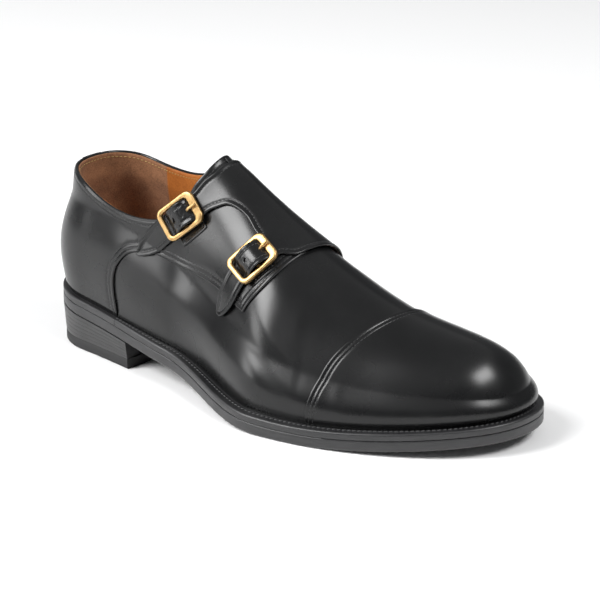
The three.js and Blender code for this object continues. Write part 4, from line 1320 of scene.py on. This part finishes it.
for name in STRAPS:
    to_shoe = buckle_frame(name)
    half = BUCKLE["along"] / 2
    outer = rounded_loop(BUCKLE["across"], -half, half, BUCKLE["corner"])
    inner = rounded_loop(BUCKLE["across"] - 2 * BUCKLE["bar"], -half + BUCKLE["bar"],
                         half - BUCKLE["front_bar"], BUCKLE["inner_corner"])
    rings = [np.column_stack([outer + (inner - outer) * u, np.full(len(outer), z)]) for u, z in FRAME_SECTION]
    count = len(outer)
    faces = quads(len(rings), count, closed=True).tolist()
    last = (len(rings) - 1) * count
    faces += [(last + k, k, (k + 1) % count, last + (k + 1) % count) for k in range(count)]
    bar_low = BUCKLE["pin"] - BUCKLE["thick"] / 2 - BUCKLE["pin_sink"]
    bar = rod([(x * BUCKLE["pin_half"], 0, bar_low) for x in (-1, -0.5, 0, 0.5, 1)], [BUCKLE["pin"]] * 5)
    points, faces = combined((np.concatenate(rings), faces), bar)
    add_piece(f"buckle_{name}_brass", to_shoe(points), faces, BRASS, "brass", f"buckle_{name}", sharp=40)

    t = np.linspace(0, 1, 26)
    height = PRONG["low"] + PRONG["rise"] * smooth(t * 2.2) - PRONG["droop"] * t * t
    taper = PRONG["thick"] - PRONG["thinner"] * t
    taper[:2] *= (0.4, 0.85)
    taper[-4:] *= (0.96, 0.88, 0.7, 0.35)
    points, faces = rod(np.column_stack([0 * t, PRONG["start"] + PRONG["length"] * t, height]), taper)
    add_piece(f"prong_{name}_brass", to_shoe(points), faces, BRASS, "brass", f"prong_{name}", sharp=60)

    curve = strap_curve([(x, g, TAB_WIDTH, 0) for x, g in TABS[name]], 60)
    left, right = (side_points(curve, slice(None, None, 6), way) for way in (1, -1))
    tab_line, tab_kinds = trace([("free", left), ("free", [left[-1], right[-1]]), ("free", right[::-1]),
                                 ("free", [right[0], left[0]])])
    chart, faces, depth, kind = cut(tab_line, tab_kinds, (0.3, 0.7, 1.2), 2.0)
    add_cut(f"buckle_tab_{name}_calf", chart, faces, LAYER + crest(depth, TAB_THICK, TAB_ROW, roll=0.05),
            np.full(len(chart), LAYER - 0.05), CALF, "calf", f"buckle_tab_{name}")
    tab_rows = rows_inside(tab_line, tab_kinds, TAB_ROW, ["free"], lambda a, g, depth, kind: LAYER + 0.5)
    stitch(f"buckle_tab_{name}_stitches", tab_rows, BLACK_THREAD, "calf", Width=0.0004)

# ---------------------------------------------------------------------------------------- Back strip
# A narrow strip of the same calf covers the top of the closed back seam. It folds over the collar,
# narrows downwards and ends round, glued and held by its own edge.

STRIP_DEEP, STRIP_HALF = 34.0, 8.5
STRIP_TAPER, STRIP_ROUND = 0.45, 0.12   # shares it narrows by, and over which its end turns round
STRIP_FOLD = 1.2            # this much of it hangs over the collar


def back_strip(rows=46, columns=25):
    """The strip's outer and inner skin, row by row down the back."""
    t = np.linspace(0, 1, rows)[:, None]
    u = np.linspace(-1, 1, columns)[None, :]
    half = STRIP_HALF * (1 - STRIP_TAPER * t) * np.sqrt(np.clip((1 - t) / STRIP_ROUND, 0, 1))
    across = half * u
    top = 0.4 + np.where(across < 0, collar(OUTER, np.abs(across)), collar(INNER, np.abs(across)))
    g = np.where(across < 0, -1, 1) * (top + STRIP_DEEP * t)
    side = np.minimum(half * (1 - np.abs(u)), STRIP_DEEP * (1 - t))
    high = LAYER + crest(side, 0.75, 1.6, roll=0.05) - 0.6 * (1 - smooth(t * STRIP_DEEP / 2))
    low = np.where(t * STRIP_DEEP < STRIP_FOLD, -0.6, LAYER - 0.3) + 0 * u
    return on_last(np.abs(across), g, high), on_last(np.abs(across), g, low)


strip_top, strip_bottom = back_strip()
add_piece("back_strip_calf", *shell(quads(*strip_top.shape[:2]), strip_top, strip_bottom), CALF,
          "calf", "upper")

# --------------------------------------------------------------------------- Welt and lining stitches
# The welt is sewn down to the outsole with a heavier waxed thread close to the upper, and a pale
# thread holds the lining below the collar and along the heel grip.

WELT_SEAM = (0.3, 0.62)     # the seam lies in from the edge by this, and this share of the ledge
welt_outer, welt_inner = (
    sole_edge(side, 260, lambda x: WELT_SEAM[0] + WELT_SEAM[1] * ledge(side)(x), RAND_END, LENGTH)
    for side in (OUTER, INNER))
welt_run = np.concatenate([welt_outer, welt_inner[::-1][1:]])
welt_run = np.column_stack([welt_run, feather(welt_run[:, 0]) - 0.12])
WELT_THREAD = thread("welt_thread", (0.05, 0.05, 0.052), 0.5)
stitch("welt_stitches", [(welt_run, np.tile((0, 0, 1.0), (len(welt_run), 1)))], WELT_THREAD, "sole_edge",
       Pitch=0.0027, Length=0.0023, Width=0.0008, Slant=0.25)

PALE_THREAD = thread("pale_thread", (0.55, 0.36, 0.12), 0.6)
lining_rows = []
for side in (OUTER, INNER):
    for start, end, lift in ((BACK, GRIP_SEAM - 1, -1.85), (GRIP_SEAM + 1, 106, -2.0)):
        a = np.linspace(float(station(start)), float(station(end)), 80)
        place, normal = on_last(a, side * collar(side, a, 2.9), lift - 0.08, with_normal=True)
        lining_rows.append((place, -normal))
stitch("lining_stitches", lining_rows, PALE_THREAD, "lining", Pitch=0.0024)

# ------------------------------------------------------------------------------------------- Stage
# A wide pale floor carries the shoe. A dim dome gives the even light, and softboxes stand to the
# outer side, low behind it and over the toe.


def pale(name, colour):
    material, tree, surface, _ = shader(name)
    dress(tree, surface, Base_Color=(*colour, 1), Roughness=0.9)
    return material


floor_mesh = bpy.data.meshes.new("floor")
floor_mesh.from_pydata([(-6, -6, 0), (6, -6, 0), (6, 6, 0), (-6, 6, 0)], [], [(0, 1, 2, 3)])
floor_mesh.materials.append(pale("pale_floor", (0.93, 0.93, 0.93)))
floor = bpy.data.objects.new("floor", floor_mesh)
bpy.context.scene.collection.objects.link(floor)

world = bpy.data.worlds.new("studio")
world.use_nodes = True
world.node_tree.nodes["Background"].inputs["Color"].default_value = (0.95, 0.97, 1, 1)
world.node_tree.nodes["Background"].inputs["Strength"].default_value = 0.14
bpy.context.scene.world = world


def lamp(name, kind, where, energy, **settings):
    """A light that points at the shoe, energy in watts or for the sun in watts per square metre."""
    light = bpy.data.lights.new(name, kind)
    light.energy = energy
    for key, value in settings.items():
        setattr(light, key, value)
    placed = bpy.data.objects.new(name, light)
    placed.location = where
    placed.rotation_euler = (Vector((0, 0, 0.04)) - Vector(where)).to_track_quat("-Z", "Y").to_euler()
    bpy.context.scene.collection.objects.link(placed)


lamp("dome", "SUN", (-0.3, -0.1, 0.95), 0.6, angle=math.radians(120))
lamp("side_softbox", "AREA", (-0.75, -1.3, 1.4), 44, shape="RECTANGLE", size=0.95, size_y=1.0)
lamp("low_softbox", "AREA", (-1.2, -1.5, 0.5), 9, shape="RECTANGLE", size=0.6, size_y=0.6)
lamp("toe_softbox", "AREA", (1.3, 0.1, 1.5), 26, shape="RECTANGLE", size=0.9, size_y=0.6)

# The camera stands where it sees the outer side, a little above and ahead of the shoe.
CAMERA = dict(azimuth=40.4, elevation=20.4, distance=1400.0, aim=(149.7, -9.4, 45.0), lens=159.0,
              shift=(0.0405, 0.0145))
turn, rise = math.radians(CAMERA["azimuth"]), math.radians(CAMERA["elevation"])
back = np.array([math.sin(turn) * math.cos(rise), -math.cos(turn) * math.cos(rise), math.sin(rise)])
camera_data = bpy.data.cameras.new("camera")
camera = bpy.data.objects.new("camera", camera_data)
camera.location = metres(np.array(CAMERA["aim"]) + back * CAMERA["distance"])
camera.rotation_euler = Vector(-back).to_track_quat("-Z", "Y").to_euler()
camera_data.sensor_width = 36.0
camera_data.lens = CAMERA["lens"]
camera_data.shift_x, camera_data.shift_y = CAMERA["shift"]
bpy.context.scene.collection.objects.link(camera)
bpy.context.scene.camera = camera
bpy.context.scene.view_settings.view_transform = "Standard"
